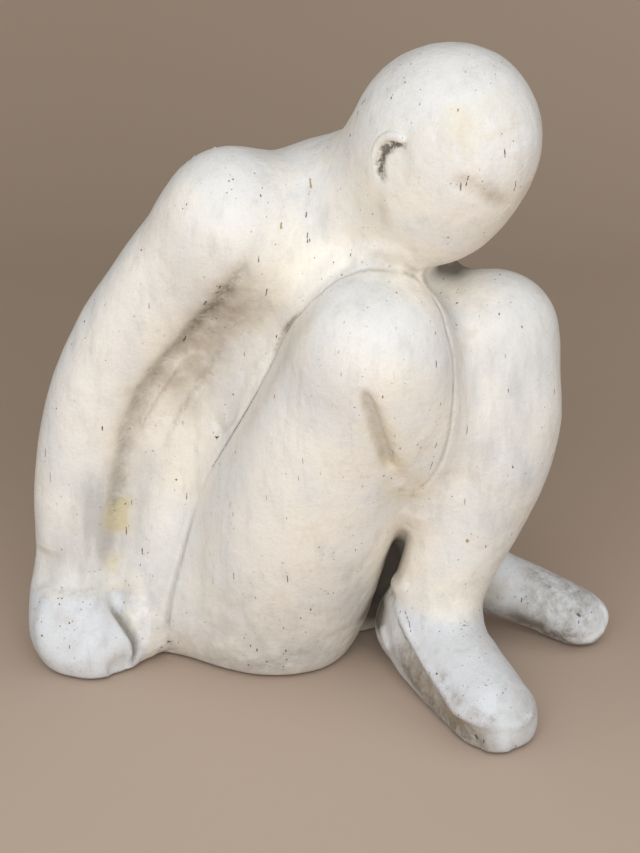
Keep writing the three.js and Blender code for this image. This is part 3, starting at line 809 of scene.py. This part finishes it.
def crossings(values, axis):
    """Lattice edges along the axis that the surface crosses: their lower ends and whether these are inside."""
    inside = values < 0
    ahead = [slice(None)] * 3
    behind = [slice(None)] * 3
    ahead[axis] = slice(1, None)
    behind[axis] = slice(None, -1)
    low = np.argwhere(inside[tuple(ahead)] != inside[tuple(behind)])
    return low, inside[tuple(low.T)]


cell_strides = np.array([counts[1] * counts[2], counts[2], 1])


def ring_cells(low, axis):
    """The four cells round each edge."""
    u = cell_strides[(axis + 1) % 3]
    v = cell_strides[(axis + 2) % 3]
    own = low @ cell_strides
    return np.stack([own, own - u, own - u - v, own - v], axis=1)


def edge_points(rows, low, axis, values):
    step = np.zeros(3, int)
    step[axis] = 1
    high = low + step
    first = values[tuple(low.T)]
    share = first / (first - values[tuple(high.T)])
    between = rows[(slice(None), *low.T)] * (1 - share) + rows[(slice(None), *high.T)] * share
    return low + share[:, None] * step, between


def cell_means(cells, points):
    """The distinct cells and, for each, the mean of its crossing points."""
    found, index = np.unique(cells.ravel(), return_inverse=True)
    index = index.ravel()
    spread = np.repeat(points, 4, axis=0)
    sums = [np.bincount(index, spread[:, k]) for k in range(3)]
    return found, np.stack(sums, axis=1) / np.bincount(index)[:, None], index


def net(rows, name):
    """Cells, their mean crossings and field sets, and the quads of a casting with the field each lies on."""
    own = casting(rows, name)[0]
    low_index = np.argwhere(own < 0).min(0) - 2
    high_index = np.argwhere(own < 0).max(0) + 3
    window = tuple(slice(a, b) for a, b in zip(low_index, high_index))
    rows = rows[(slice(None), *window)]
    own = own[window]
    rings = []
    points = []
    kinds = []
    for axis in range(3):
        low, is_inside = crossings(own, axis)
        places, between = edge_points(rows, low, axis, own)
        ring = ring_cells(low + low_index, axis)
        ring[~is_inside] = ring[~is_inside][:, ::-1]
        rings.append(ring)
        points.append(places + low_index)
        kinds.append(casting(between, name)[1])
    rings = np.concatenate(rings)
    kinds = np.concatenate(kinds).astype(int)
    cells, means, index = cell_means(rings, np.concatenate(points))
    sets = np.zeros(len(cells), int)
    np.bitwise_or.at(sets, index, np.repeat(1 << kinds, 4))
    return {"cells": cells, "means": means, "sets": sets, "quads": index.reshape(-1, 4), "kinds": kinds}


def slopes(points, values):
    result = np.empty((*values.shape, 3))
    for axis in range(3):
        moved = points.copy()
        moved[:, axis] += slope_step
        result[..., axis] = (measure_all(moved) - values) / slope_step
    return result


def settle(starts, centres, sets):
    """Moves each point onto all the fields in its set, and gives the slope of the skin there."""
    points = starts.copy()
    index = [np.flatnonzero(sets >> k & 1) for k in range(len(measures))]
    active = np.zeros((len(points), len(measures)), bool)
    for k, members in enumerate(index):
        active[members, k] = True
    order = np.argsort(~active, axis=1, kind="stable")[:, :3]
    is_used = np.take_along_axis(active, order, axis=1)
    for _ in range(settle_rounds):
        values = measure_all(points)
        slope = slopes(points, values)
        rows = np.arange(len(points))[:, None]
        residual = np.where(is_used, values.T[rows, order], 0)
        matrix = np.where(is_used[..., None], slope.transpose(1, 0, 2)[rows, order], 0)
        square = matrix @ matrix.transpose(0, 2, 1) + settle_damping * np.eye(3)
        pull = np.linalg.solve(square, residual[..., None])
        points = points - (matrix.transpose(0, 2, 1) @ pull)[..., 0]
        points = np.clip(points, centres - settle_range, centres + settle_range)
    normals = slope[0] / np.maximum(np.linalg.norm(slope[0], axis=1), 1e-9)[:, None]
    return points, normals


def build_nets():
    rows = sampled_rows()
    nets = {name: net(rows, name) for name in casting_names}
    skin_cells = []
    skin_points = []
    for axis in range(3):
        low, _ = crossings(rows[0], axis)
        inner = np.all(low > 0, axis=1)
        low = low[inner]
        skin_points.append(edge_points(rows, low, axis, rows[0])[0])
        skin_cells.append(ring_cells(low, axis))
    cells, means, _ = cell_means(np.concatenate(skin_cells), np.concatenate(skin_points))
    joined = np.zeros(len(cells), int)
    for part in nets.values():
        on_skin = np.flatnonzero(part["sets"] & 1)
        part["skin_index"] = np.searchsorted(cells, part["cells"][on_skin])
        np.bitwise_or.at(joined, part["skin_index"], part["sets"][on_skin])
    for part in nets.values():
        on_skin = np.flatnonzero(part["sets"] & 1)
        part["means"][on_skin] = means[part["skin_index"]]
        part["sets"][on_skin] = joined[part["skin_index"]]
    keys = np.concatenate([part["cells"] * 2 ** len(measures) + part["sets"] for part in nets.values()])
    starts = np.concatenate([part["means"] for part in nets.values()])
    keys, first, index = np.unique(keys, return_index=True, return_inverse=True)
    index = index.ravel()
    cells = keys >> len(measures)
    centres = np.stack(np.unravel_index(cells, counts), axis=1) + 0.5
    points, normals = settle(
        starts[first] * cell + lattice_low,
        centres * cell + lattice_low,
        keys & (2 ** len(measures) - 1),
    )
    offset = 0
    for part in nets.values():
        own = index[offset:offset + len(part["cells"])]
        offset += len(part["cells"])
        part["own"] = own
    return nets, points, normals


nets, points, normals = build_nets()


# Dirt, tone and painted shade: marks between 0 and 1 that the materials read, worked out at each point of the
# skin

def hollowness(reach):
    """How far the skin closes in on a place that lies out from it by the reach."""
    return np.clip(1 - measure_all(points + normals * reach)[0] / reach, 0, 1)


# The strokes lie on the skin as it is without its relief
smooth_points = points + normals * relief(points)[:, None]

# How far out from the skin each tone looks for more of it; these closed-in tones paint shade into the grooves,
# recesses and hollows
hollow_reaches = {"groove": 5, "recess": 16, "hollow": 40}

# Each mark is a route, its width, and its strength
tone_marks = {
    "grime": [
        (ear_groove, 3.6, 1.3),
        (armpit_groove, 6, 0.28),
        ([(-117, -79, 372), (-123, -60, 345), (-123, -30, 314), (-127, -8, 288)], 4, 0.4),
        (flank_seam, 2.0, 0.25),
        (wrist_seam, 2.2, 0.30),
        (hand_seam, 3.4, 0.8),
        (left_foot_side, 7, 0.6),
        (right_foot_side, 9, 0.8),
    ],
    "yellow": [
        ([(-147, 52, 148), (-149, 55, 128), (-150, 56, 108)], 9, 1.5),
        ([(-150, 55, 98), (-152, 53, 62)], 8, 0.9),
        ([(-150, 42, 48), (-156, 30, 34)], 6, 0.7),
        ([(-93, -188, 288), (-70, -185, 245), (-35, -163, 191), (-13, -162, 176)], 15, 0.5),
        (fold_foot, 13, 0.5),
        (neck_side, 14, 0.2),
        (head_front, 42, 0.5),
    ],
    # The tan marks paint shade along the armpit, mouth, thigh edge and calf fold, and give the real tan of the
    # feet's rough sides
    "tan": [
        (armpit_shade, 26, 0.85),
        (armpit_groove, 12, 0.5),
        (mouth, 6, 0.55),
        (thigh_edge, 8, 0.35),
        (ear_streak, 6, 0.45),
        (fold_core, 7, 0.40),
        (left_foot_band, 10, 0.9),
        (left_foot_side, 10, 0.8),
        (right_foot_side, 12, 0.5),
        (right_ankle_side, 12, 0.7),
    ],
    "shade": [
        (armpit_groove, 5, 0.20),
        (ear_groove, 2.8, 0.5),
        (fold_core, 1.6, 0.30),
        (thigh_line, 1.6, 0.36),
        (knee_line, 1.6, 0.25),
        (seat_seam, 1.8, 0.28),
        (hand_seam, 2.8, 0.75),
        (right_arch_side, 9, 0.75),
        (leg_gap, 14, 1.6),
        (leg_gap_foot, 12, 1.2),
        (chin_shade, 12, 1.0),
    ],
    "grey": [
        (flank_side, 16, 0.7),
        (arm_inside, 16, 1.2),
        (arm_low, 14, 0.8),
        (hip_low, 14, 0.5),
        (left_shin_front, 28, 0.8),
        ([(0, -255, 46), (-6, -273, 34), (-14, -276, 22), (-26, -270, 12), (-34, -260, 4)], 18, 1.3),
        (thigh_foot, 16, 0.8),
        (thigh_end, 16, 0.7),
        (shoulder_front, 14, 0.7),
        (knee_top, 22, 0.5),
        ([(120, -130, 50), (150, -172, 42), (170, -185, 30)], 30, 1.3),
    ],
    # Painted light on the arm and thigh, and the brighter coat of the flank and collar bands
    "white": [
        ([(-148, 46, 92), (-147, 36, 66), (-144, 29, 36), (-136, 30, 6)], 11, 1.2),
        (collar_band, 9, 1.2),
        (arm_top, 24, 0.9),
        (arm_front, 26, 0.9),
        (thigh_front, 26, 1.1),
        (fold_foot, 14, 0.7),
    ],
    "rough": rough_marks,
}
tones = {name: hollowness(reach) for name, reach in hollow_reaches.items()}
for name, marks in tone_marks.items():
    tones[name] = strokes(smooth_points, marks)


# Single nicks, pits and cracks: a route over the skin and half the width

coat_nicks = [
    ([(-36, -234, 460), (-36, -232, 452)], 0.5),
    ([(1, -245, 452), (3, -242, 444)], 0.45),
    ([(-72, -96, 391), (-73, -97, 384)], 0.5),
    ([(-69, -91, 405), (-70, -92, 402)], 0.6),
    ([(-99, -80, 348), (-98, -77, 342)], 0.5),
    ([(-120, -61, 109), (-119, -60, 103)], 0.4),
    ([(-100, -104, 116), (-99, -103, 109)], 0.4),
    ([(-29, -197, 240), (-24, -186, 216), (-20, -172, 193)], 0.35),
    (thigh_line[5:1:-1], 0.4),
    ([(-128, -60, 350), (-128, -59, 348)], 0.9),
    ([(-126, -56, 344), (-128, -55, 342)], 0.7),
    ([(-129, -43, 334), (-128, -40, 330)], 0.9),
    ([(-125, -12, 293), (-125, -9, 289)], 0.8),
]
ochre_nicks = [
    ([(-57, -81, 427), (-60, -86, 422)], 1.1),
    ([(-90, -87, 400), (-91, -88, 397)], 1.1),
    ([(16, -186, 141), (16, -186, 140)], 1.8),
]
worn_nicks = [
    ([(-22, -176, 36), (-22, -176, 35)], 1.1),
    ([(-24, -197, 41), (-24, -197, 40)], 1.1),
    ([(-38, -254, 13), (-37, -255, 12)], 1.6),
    ([(-35, -261, 12), (-34, -262, 11)], 1.1),
    ([(-8, -135, 68), (-9, -134, 58), (-11, -139, 52), (-12, -144, 47)], 0.45),
    ([(-7, -139, 69), (-8, -146, 62), (-10, -150, 56)], 0.4),
    ([(148, -182, 34), (149, -183, 33)], 1.4),
]


def onto_skin(route):
    places = np.array(route, float)
    for _ in range(3):
        values = measure_all(places)
        slope = slopes(places, values)[0]
        places = places - values[0][:, None] * slope / (slope ** 2).sum(1)[:, None]
    return (places + figure_shift) * METRE


# Nodes of the materials

def fill(tree, item, inputs):
    """Sets the inputs of a node to constants or links them to the sockets given."""
    for key, value in inputs.items():
        if isinstance(value, bpy.types.NodeSocket):
            tree.links.new(value, item.inputs[key])
        else:
            item.inputs[key].default_value = value


def add(tree, kind, inputs, **settings):
    item = tree.nodes.new("ShaderNode" + kind)
    for name, value in settings.items():
        setattr(item, name, value)
    fill(tree, item, inputs)
    return item.outputs


def maths(tree, operation, *values):
    return add(tree, "Math", dict(enumerate(values)), operation=operation)[0]


def between(tree, value, low, high, top=1.0):
    """Rises smoothly from 0 to the top as the value goes from low to high."""
    inputs = {"Value": value, "From Min": low, "From Max": high, "To Max": top}
    return add(tree, "MapRange", inputs, interpolation_type="SMOOTHSTEP")["Result"]


def mixed(tree, share, first, second):
    """A colour between two others. The node has its colours in the sockets 6 and 7, and gives them in 2."""
    return add(tree, "Mix", {0: share, 6: first, 7: second}, data_type="RGBA")[2]


def highest(tree, *values):
    result = values[0]
    for value in values[1:]:
        result = maths(tree, "MAXIMUM", result, value)
    return result


def noise(tree, place, size, detail=3.0, roughness=0.55):
    inputs = {"Vector": place, "Scale": 1 / size, "Detail": detail, "Roughness": roughness}
    return add(tree, "TexNoise", inputs)["Fac"]


def stretched(tree, place, factors):
    return add(tree, "Mapping", {"Vector": place, "Scale": factors})[0]


def spots(tree, place, spacing, radius, share):
    """Sparse round spots of uneven size: 1 inside a spot and 0 outside it."""
    cells = add(tree, "TexVoronoi", {"Vector": place, "Scale": 1 / spacing}, feature="F1")
    chance = add(tree, "SeparateColor", {"Color": cells["Color"]})
    size = between(tree, chance[0], 1 - share, 1.0, radius / spacing)
    edge = maths(tree, "SUBTRACT", size, cells["Distance"])
    return between(tree, edge, 0.0, 0.25 * radius / spacing)


def line_marks(tree, place, nicks):
    """Rises to 1 on the given nicks and is 0 off them."""
    total = 0.0
    for route, half_width in nicks:
        places = onto_skin(route)
        for start, end in zip(places[:-1], places[1:]):
            axis = end - start
            offset = add(tree, "VectorMath", {0: place, 1: start}, operation="SUBTRACT")[0]
            scaled = axis / (axis @ axis)
            along = add(tree, "VectorMath", {0: offset, 1: scaled}, operation="DOT_PRODUCT")["Value"]
            share = add(tree, "Clamp", {"Value": along})[0]
            nearest = add(tree, "VectorMath", {0: axis, "Scale": share}, operation="SCALE")[0]
            gap = add(tree, "VectorMath", {0: offset, 1: nearest}, operation="DISTANCE")["Value"]
            mark = between(tree, gap, half_width * METRE, 0.4 * half_width * METRE)
            total = maths(tree, "MAXIMUM", total, mark)
    return total


def tone(tree, name):
    return add(tree, "Attribute", {}, attribute_name=name)["Fac"]


def new_material(name):
    material = bpy.data.materials.new(name)
    material.use_nodes = True
    return material, material.node_tree, material.node_tree.nodes["Principled BSDF"]


# Colours of the dirt, stains and wear that both coats share, and of their painted light and painted shade
# Painted light: the white that the white marks lay on the arm, the thigh and the brighter flank and collar
# bands
painted_light_white = (0.88, 0.85, 0.80, 1)
# Painted shade: the tan that darkens the recesses
recess_shade_tan = (0.62, 0.54, 0.41, 1)
smudge_grey = (0.47, 0.465, 0.46, 1)
bare_grey = (0.58, 0.57, 0.57, 1)
speck_brown = (0.50, 0.45, 0.38, 1)
shade_brown = (0.36, 0.29, 0.20, 1)
stain_yellow = (0.72, 0.63, 0.41, 1)
film_green = (0.57, 0.53, 0.36, 1)
mottle_brown = (0.30, 0.27, 0.225, 1)
# Dirt and painted shade: the dark brown of the grooves, grime, shade marks and ground contact
dirt_and_shade_brown = (0.13, 0.11, 0.085, 1)
hole_brown = (0.085, 0.07, 0.055, 1)
ochre = (0.35, 0.235, 0.06, 1)

# How far each coat's marks are shifted to make their edges ragged, in metres
wobble_reach = 0.0008


def mineral_colour(tree, grain, height, look):
    """Painted light: cool white on surfaces that face up, cream on those that face down or lie in hollows, as
    if lit from above with painted shade below. Greyer in places, lighter where the white marks paint light,
    and tinted in patches towards the ground.
    """
    upward = add(tree, "SeparateXYZ", {"Vector": add(tree, "NewGeometry", {})["Normal"]})["Z"]
    # Painted light and shade: the warmth rises where the surface faces down and in the hollows, so the tops
    # come out cool white and the undersides cream
    warmth_and_shade = maths(tree, "MULTIPLY_ADD", grain["clouds"], 2.2, maths(tree, "MULTIPLY", upward, -0.6))
    warmth_and_shade = maths(tree, "MULTIPLY_ADD", tone(tree, "hollow"), 0.7, warmth_and_shade)
    colour = mixed(tree, between(tree, warmth_and_shade, 0.7, 1.75), look["cool"], look["cream"])
    greyed = maths(tree, "MULTIPLY", tone(tree, "grey"), between(tree, grain["streaks"], 0.15, 0.65))
    greyed = maths(tree, "MINIMUM", maths(tree, "MULTIPLY", greyed, 0.75), 0.9)
    colour = mixed(tree, greyed, colour, look["grey"])
    # Painted light: the white marks lighten the arm top, arm front and thigh front, and the coat's brighter
    # flank and collar bands
    colour = mixed(tree, between(tree, tone(tree, "white"), 0.2, 0.9), colour, painted_light_white)
    # Tinted in patches towards the ground, within the lowest 15 cm
    low_down = between(tree, height, 0.15, 0.0, 0.8)
    low_tinted = maths(tree, "MULTIPLY", low_down, between(tree, grain["patches"], 0.2, 0.7))
    return mixed(tree, low_tinted, colour, look["low_tint"])


def weathered(tree, place, grain, colour, smudges):
    """Lays wear and stains over the coat, one after another, with painted shade in the recesses and along the
    tan marks.
    """
    patches = grain["patches"]
    recess_shading = maths(tree, "MULTIPLY_ADD", patches, 0.5, tone(tree, "recess"))
    bare = noise(tree, place, 0.030, 6.0, 0.7)
    browned = maths(tree, "MULTIPLY", tone(tree, "tan"), between(tree, patches, 0.0, 0.75))
    browned = maths(tree, "MULTIPLY", browned, 0.85)
    stained = maths(tree, "MULTIPLY", tone(tree, "yellow"), between(tree, patches, 0.3, 0.7))
    film = maths(tree, "MULTIPLY_ADD", patches, 1.6, tone(tree, "yellow"))
    blotches = between(tree, noise(tree, place, 0.011, 6.0, 0.72), 0.38, 0.68)
    mottled = maths(tree, "MULTIPLY", between(tree, tone(tree, "rough"), 0.1, 0.9), blotches)
    layers = [
        # Painted shade in the recesses, from how closed in the skin is, in patches
        (between(tree, recess_shading, 0.5, 1.2, 0.25), recess_shade_tan),
        (between(tree, grain["streaks"], 0.48, 0.80, smudges), smudge_grey),
        (between(tree, bare, 0.52, 0.72, smudges), bare_grey),
        (between(tree, grain["specks"], 0.45, 0.85, 0.20), speck_brown),
        # Painted shade along the armpit, mouth, thigh edge and calf fold, and the real tan of the feet's rough
        # sides
        (maths(tree, "MINIMUM", browned, 0.95), shade_brown),
        (maths(tree, "MINIMUM", stained, 0.8), stain_yellow),
        (between(tree, film, 1.55, 1.75, 0.55), film_green),
        (maths(tree, "MULTIPLY", mottled, 0.75), mottle_brown),
    ]
    for share, layer in layers:
        colour = mixed(tree, share, colour, layer)
    return colour


def dirt_and_shade_share(tree, place, grain, height):
    """Dirt and painted shade: darker in the grooves from how closed in the skin is, along the grime and shade
    marks, and a painted contact shadow where a piece meets the ground.
    """
    groove_shade = maths(tree, "MULTIPLY_ADD", grain["patches"], 0.6, tone(tree, "groove"))
    groove_shade = between(tree, groove_shade, 0.62, 1.35, 0.5)
    fine = noise(tree, place, 0.004, 4.0)
    grime = maths(tree, "MULTIPLY", tone(tree, "grime"), between(tree, fine, 0.3, 0.6))
    ground_shadow = between(tree, height, 0.0045, 0.0005, 0.75)
    return maths(tree, "MINIMUM", highest(tree, groove_shade, grime, tone(tree, "shade"), ground_shadow), 0.94)


def wobbled(tree, place):
    """The place shifted by a fine noise, which gives the drawn nicks ragged edges."""
    wobble = add(tree, "TexNoise", {"Vector": place, "Scale": 350.0})["Color"]
    shift = {0: wobble, 1: (2 * wobble_reach,) * 3, 2: place}
    moved = add(tree, "VectorMath", shift, operation="MULTIPLY_ADD")[0]
    return add(tree, "VectorMath", {0: moved, 1: (wobble_reach,) * 3}, operation="SUBTRACT")[0]


def pinholes(tree, place, pits):
    """Round holes, finer ones and short upright scratches, crowded in places, and rough holes."""
    upright = stretched(tree, place, (1.0, 1.0, 0.13))
    rough_holes = spots(tree, place, 0.0062, 0.0011, 0.6)
    marks = highest(
        tree,
        spots(tree, place, 0.0095, 0.0010, 0.35 * pits),
        spots(tree, place, 0.0044, 0.0006, 0.50 * pits),
        spots(tree, upright, 0.0042, 0.0007, 0.45 * pits),
        maths(tree, "MULTIPLY", rough_holes, between(tree, tone(tree, "rough"), 0.25, 0.7)),
    )
    crowded = between(tree, noise(tree, place, 0.040, 2.0), 0.38, 0.60)
    ragged = between(tree, noise(tree, place, 0.0012, 2.0), 0.25, 0.5)
    return maths(tree, "MULTIPLY", marks, maths(tree, "MULTIPLY", crowded, ragged))


def coat_bump(tree, place, grain, marks):
    """Soft unevenness with specks, a coarse grain on the rough parts, and hollows at the marks."""
    height = maths(tree, "MULTIPLY", noise(tree, place, 0.010, 5.0, 0.6), 1.1)
    height = maths(tree, "MULTIPLY_ADD", grain["specks"], 0.2, height)
    coarse = maths(tree, "MULTIPLY", noise(tree, place, 0.0045, 5.0, 0.7), tone(tree, "rough"))
    height = maths(tree, "MULTIPLY_ADD", coarse, 2.0, height)
    height = maths(tree, "MULTIPLY_ADD", marks, -1.0, height)
    return add(tree, "Bump", {"Height": height, "Distance": 0.0009, "Strength": 0.9})["Normal"]


def coat_material(name, look):
    """A mineral coat: painted light makes it cool white on top and cream below, with dirt and painted shade in
    the grooves and gaps, stains, pinholes and short nicks.
    """
    material, tree, shader = new_material(name)
    place = add(tree, "TexCoord", {})["Object"]
    height = add(tree, "SeparateXYZ", {"Vector": place})["Z"]
    grain = {
        "clouds": noise(tree, place, 0.060, 4.0),
        "patches": noise(tree, place, 0.019, 5.0, 0.6),
        "specks": noise(tree, place, 0.0022, 2.0),
        "streaks": noise(tree, stretched(tree, place, (1.0, 1.0, 0.25)), 0.013, 5.0, 0.65),
    }
    colour = mineral_colour(tree, grain, height, look)
    colour = weathered(tree, place, grain, colour, look["smudges"])
    # Dirt and painted shade: the grooves, the shade marks and the contact with the ground go dark brown
    soiled_and_shaded = dirt_and_shade_share(tree, place, grain, height)
    colour = mixed(tree, soiled_and_shaded, colour, dirt_and_shade_brown)
    drawn_place = wobbled(tree, place)
    nicks = line_marks(tree, drawn_place, look["nicks"])
    marks = maths(tree, "MAXIMUM", pinholes(tree, place, look["pits"]), nicks)
    colour = mixed(tree, maths(tree, "MULTIPLY", marks, 0.88), colour, hole_brown)
    if look["stains"]:
        stains = line_marks(tree, drawn_place, look["stains"])
        colour = mixed(tree, maths(tree, "MULTIPLY", stains, 0.85), colour, ochre)
    roughness = maths(tree, "MULTIPLY_ADD", grain["patches"], 0.2, 0.42)
    fill(tree, shader, {
        "Base Color": colour,
        "Roughness": maths(tree, "MAXIMUM", roughness, maths(tree, "MULTIPLY", soiled_and_shaded, 0.85)),
        "Specular IOR Level": 0.4,
        "Normal": coat_bump(tree, place, grain, marks),
    })
    return material


def steel_material():
    material, tree, shader = new_material("drawn_bar")
    place = add(tree, "TexCoord", {})["Object"]
    lines = noise(tree, stretched(tree, place, (1.0, 1.0, 0.05)), 0.0012, 4.0)
    rust = noise(tree, place, 0.012, 5.0, 0.65)
    colour = mixed(tree, between(tree, lines, 0.3, 0.7), (0.42, 0.43, 0.45, 1), (0.60, 0.61, 0.62, 1))
    rusted = between(tree, rust, 0.56, 0.72, 0.8)
    colour = mixed(tree, rusted, colour, (0.22, 0.10, 0.045, 1))
    fill(tree, shader, {
        "Base Color": colour,
        "Metallic": maths(tree, "SUBTRACT", 1.0, rusted),
        "Roughness": maths(tree, "MULTIPLY_ADD", rust, 0.4, 0.22),
        "Normal": add(tree, "Bump", {"Height": lines, "Distance": 0.0002, "Strength": 0.5})["Normal"],
    })
    return material


coated = coat_material("coated_casting", {
    "cool": (0.78, 0.78, 0.78, 1),
    "cream": (0.895, 0.85, 0.765, 1),
    "grey": (0.53, 0.535, 0.535, 1),
    "low_tint": (0.58, 0.56, 0.52, 1),
    "pits": 1.0,
    "smudges": 0.36,
    "nicks": coat_nicks,
    "stains": ochre_nicks,
})
worn = coat_material("worn_casting", {
    "cool": (0.70, 0.725, 0.775, 1),
    "cream": (0.68, 0.68, 0.66, 1),
    "grey": (0.45, 0.45, 0.455, 1),
    "low_tint": (0.67, 0.70, 0.74, 1),
    "pits": 2.0,
    "smudges": 0.60,
    "nicks": worn_nicks,
    "stains": [],
})


# Castings

def piece_mesh(name, part):
    quads = part["own"][part["quads"]]
    used, index = np.unique(quads.ravel(), return_inverse=True)
    mesh = bpy.data.meshes.new(name)
    mesh.vertices.add(len(used))
    mesh.vertices.foreach_set("co", ((points[used] + figure_shift) * METRE).ravel().astype(np.float32))
    mesh.loops.add(4 * len(quads))
    mesh.loops.foreach_set("vertex_index", index.ravel().astype(np.int32))
    mesh.polygons.add(len(quads))
    mesh.polygons.foreach_set("loop_start", np.arange(0, 4 * len(quads), 4, dtype=np.int32))
    mesh.update(calc_edges=True)
    mesh.validate()
    faces = np.zeros(3 * len(quads), np.float32)
    mesh.polygons.foreach_get("normal", faces)
    faces = faces.reshape(-1, 3)
    corners = normals[quads]
    on_joint = part["kinds"] != 0
    corners[on_joint] = faces[on_joint][:, None, :]
    mesh.normals_split_custom_set(corners.reshape(-1, 3).tolist())
    for key, values in tones.items():
        mesh.attributes.new(key, "FLOAT", "POINT").data.foreach_set("value", values[used].astype(np.float32))
    return mesh


def dress(name, mesh, material):
    piece = bpy.data.objects.new("coat_" + name, mesh)
    bpy.context.scene.collection.objects.link(piece)
    mesh.materials.append(material)
    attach(piece, "root")
    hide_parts(name)


for name, part in nets.items():
    is_worn = name.partition("_")[2] in ("hand", "foot")
    slot = "worn_casting" if is_worn else "coated_casting"
    dress(name, piece_mesh(name, part), worn if is_worn else coated)


# Ears: a rim that thins out and sinks deeper towards its lower end, laid on the head

def head_surface(places, side):
    """Moves places sideways onto the skin of the head."""
    reach = np.full(len(places), ear_search_start)
    for _ in range(ear_search_rounds):
        places[:, 0] = side * reach
        reach = reach - ear_search_step * measure_all(places)[0]
    return places


def ear_mesh(name, side):
    shares = np.linspace(0, 1, ear_rings)
    angles = np.radians(ear_start + (ear_end - ear_start) * shares)
    forward = np.cos(angles) * ear_width / 2
    upward = np.sin(angles) * ear_height / 2
    turn = math.radians(ear_turn)
    route = np.zeros((ear_rings, 3))
    route[:, 1] = ear_centre[1] - forward * math.cos(turn) + upward * math.sin(turn)
    route[:, 2] = ear_centre[2] + upward * math.cos(turn) + forward * math.sin(turn)
    route = head_surface(route, side)
    route[:, 0] -= side * (ear_sink + ear_tail_sink * shares)
    rounding = np.sqrt(np.clip(1 - (2 * shares - 1) ** 8, 0, 1))
    radii = (ear_rim_radius + (ear_tail_radius - ear_rim_radius) * shares) * rounding
    ahead = np.gradient(route, axis=0)
    ahead /= np.linalg.norm(ahead, axis=1)[:, None]
    across = np.cross(ahead, (side, 0, 0))
    across /= np.linalg.norm(across, axis=1)[:, None]
    out = np.cross(across, ahead)
    around = np.linspace(0, 2 * math.pi, ear_ring_sides, endpoint=False)
    rim = across[:, None] * np.cos(around)[:, None] + out[:, None] * np.sin(around)[:, None]
    inner = route[1:-1, None] + rim[1:-1] * radii[1:-1, None, None]
    places = np.concatenate([route[:1], inner.reshape(-1, 3), route[-1:]])
    last = len(places) - 1
    faces = []
    for i in range(ear_ring_sides):
        j = (i + 1) % ear_ring_sides
        faces.append((0, 1 + j, 1 + i))
        faces.append((last, last - ear_ring_sides + i, last - ear_ring_sides + j))
        for ring in range(ear_rings - 3):
            low = 1 + ring * ear_ring_sides
            faces.append((low + i, low + j, low + j + ear_ring_sides, low + i + ear_ring_sides))
    mesh = bpy.data.meshes.new(name)
    mesh.from_pydata(((places + figure_shift) * METRE).tolist(), [], faces)
    mesh.shade_smooth()
    return mesh


for name, side in (("right_ear", -1), ("left_ear", 1)):
    dress(name, ear_mesh(name, side), coated)

# Dowels, which keep their solids
steel = steel_material()
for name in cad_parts:
    if name.endswith("dowel"):
        bar = bpy.data.objects[name]
        for slot in bar.material_slots:
            slot.material = steel

# Camera
camera_data = bpy.data.cameras.new("camera")
camera_data.lens = focal_pixels * sensor_width / photo_height
camera_data.sensor_width = sensor_width
camera_data.clip_end = camera_range
camera = bpy.data.objects.new("camera", camera_data)
bpy.context.scene.collection.objects.link(camera)
back = Vector((
    math.sin(camera_azimuth) * math.cos(camera_elevation),
    -math.cos(camera_azimuth) * math.cos(camera_elevation),
    math.sin(camera_elevation),
))
camera.location = Vector((np.array(camera_aim) + figure_shift) * METRE) + back * camera_distance
camera.rotation_euler = back.to_track_quat("Z", "Y").to_euler()
bpy.context.scene.camera = camera


# Sweep: a floor that curves up into a wall behind the figure

def sweep_mesh():
    profile = [(sweep_front, 0.0)]
    for i in range(sweep_steps + 1):
        angle = 0.5 * math.pi * i / sweep_steps
        away = sweep_start + sweep_radius * math.sin(angle)
        profile.append((away, sweep_radius * (1 - math.cos(angle))))
    profile.append((sweep_start + sweep_radius, sweep_top))
    places = []
    for side in (-sweep_half_width, sweep_half_width):
        for away, height in profile:
            x = side * sweep_right[0] + away * sweep_ahead[0]
            y = side * sweep_right[1] + away * sweep_ahead[1]
            places.append((x, y, height))
    count = len(profile)
    faces = [(i, i + 1, i + 1 + count, i + count) for i in range(count - 1)]
    mesh = bpy.data.meshes.new("sweep")
    mesh.from_pydata(places, [], faces)
    mesh.flip_normals()
    mesh.shade_smooth()
    return mesh


def sweep_material():
    material, tree, shader = new_material("sweep_paper")
    place = add(tree, "TexCoord", {})["Object"]
    away = add(tree, "VectorMath", {0: place, 1: sweep_ahead}, operation="DOT_PRODUCT")["Value"]
    paper = noise(tree, place, 0.35, 3.0)
    # Painted shade: the paper darkens from the floor in front to the wall behind, as the lamp's light falls
    # off
    wall_shade_share = between(tree, maths(tree, "MULTIPLY_ADD", paper, 0.10, away), -0.12, 0.62)
    colour = mixed(tree, wall_shade_share, floor_colour, shaded_wall_colour)
    # Painted light: one side of the wall is paled back towards the floor colour
    across = add(tree, "VectorMath", {0: place, 1: sweep_right}, operation="DOT_PRODUCT")["Value"]
    painted_side_light = maths(tree, "MULTIPLY", wall_shade_share, between(tree, across, -0.4, 0.6, 0.32))
    colour = mixed(tree, painted_side_light, colour, floor_colour)
    fill(tree, shader, {"Base Color": colour, "Roughness": 0.85, "Specular IOR Level": 0.2})
    return material


floor = bpy.data.objects.new("sweep", sweep_mesh())
bpy.context.scene.collection.objects.link(floor)
floor.data.materials.append(sweep_material())

# Light
world = bpy.data.worlds.new("world")
bpy.context.scene.world = world
world.use_nodes = True
background = world.node_tree.nodes["Background"]
fill(world.node_tree, background, {"Color": room_colour, "Strength": room_strength})
lamp_data = bpy.data.lights.new("front", "AREA")
lamp_data.size = lamp_size
lamp_data.energy = lamp_power
lamp_data.color = lamp_colour
lamp = bpy.data.objects.new("front", lamp_data)
lamp.location = lamp_place
lamp.rotation_euler = (Vector(lamp_place) - Vector(lamp_aim)).to_track_quat("Z", "Y").to_euler()
bpy.context.scene.collection.objects.link(lamp)
bpy.context.scene.view_settings.view_transform = "Standard"
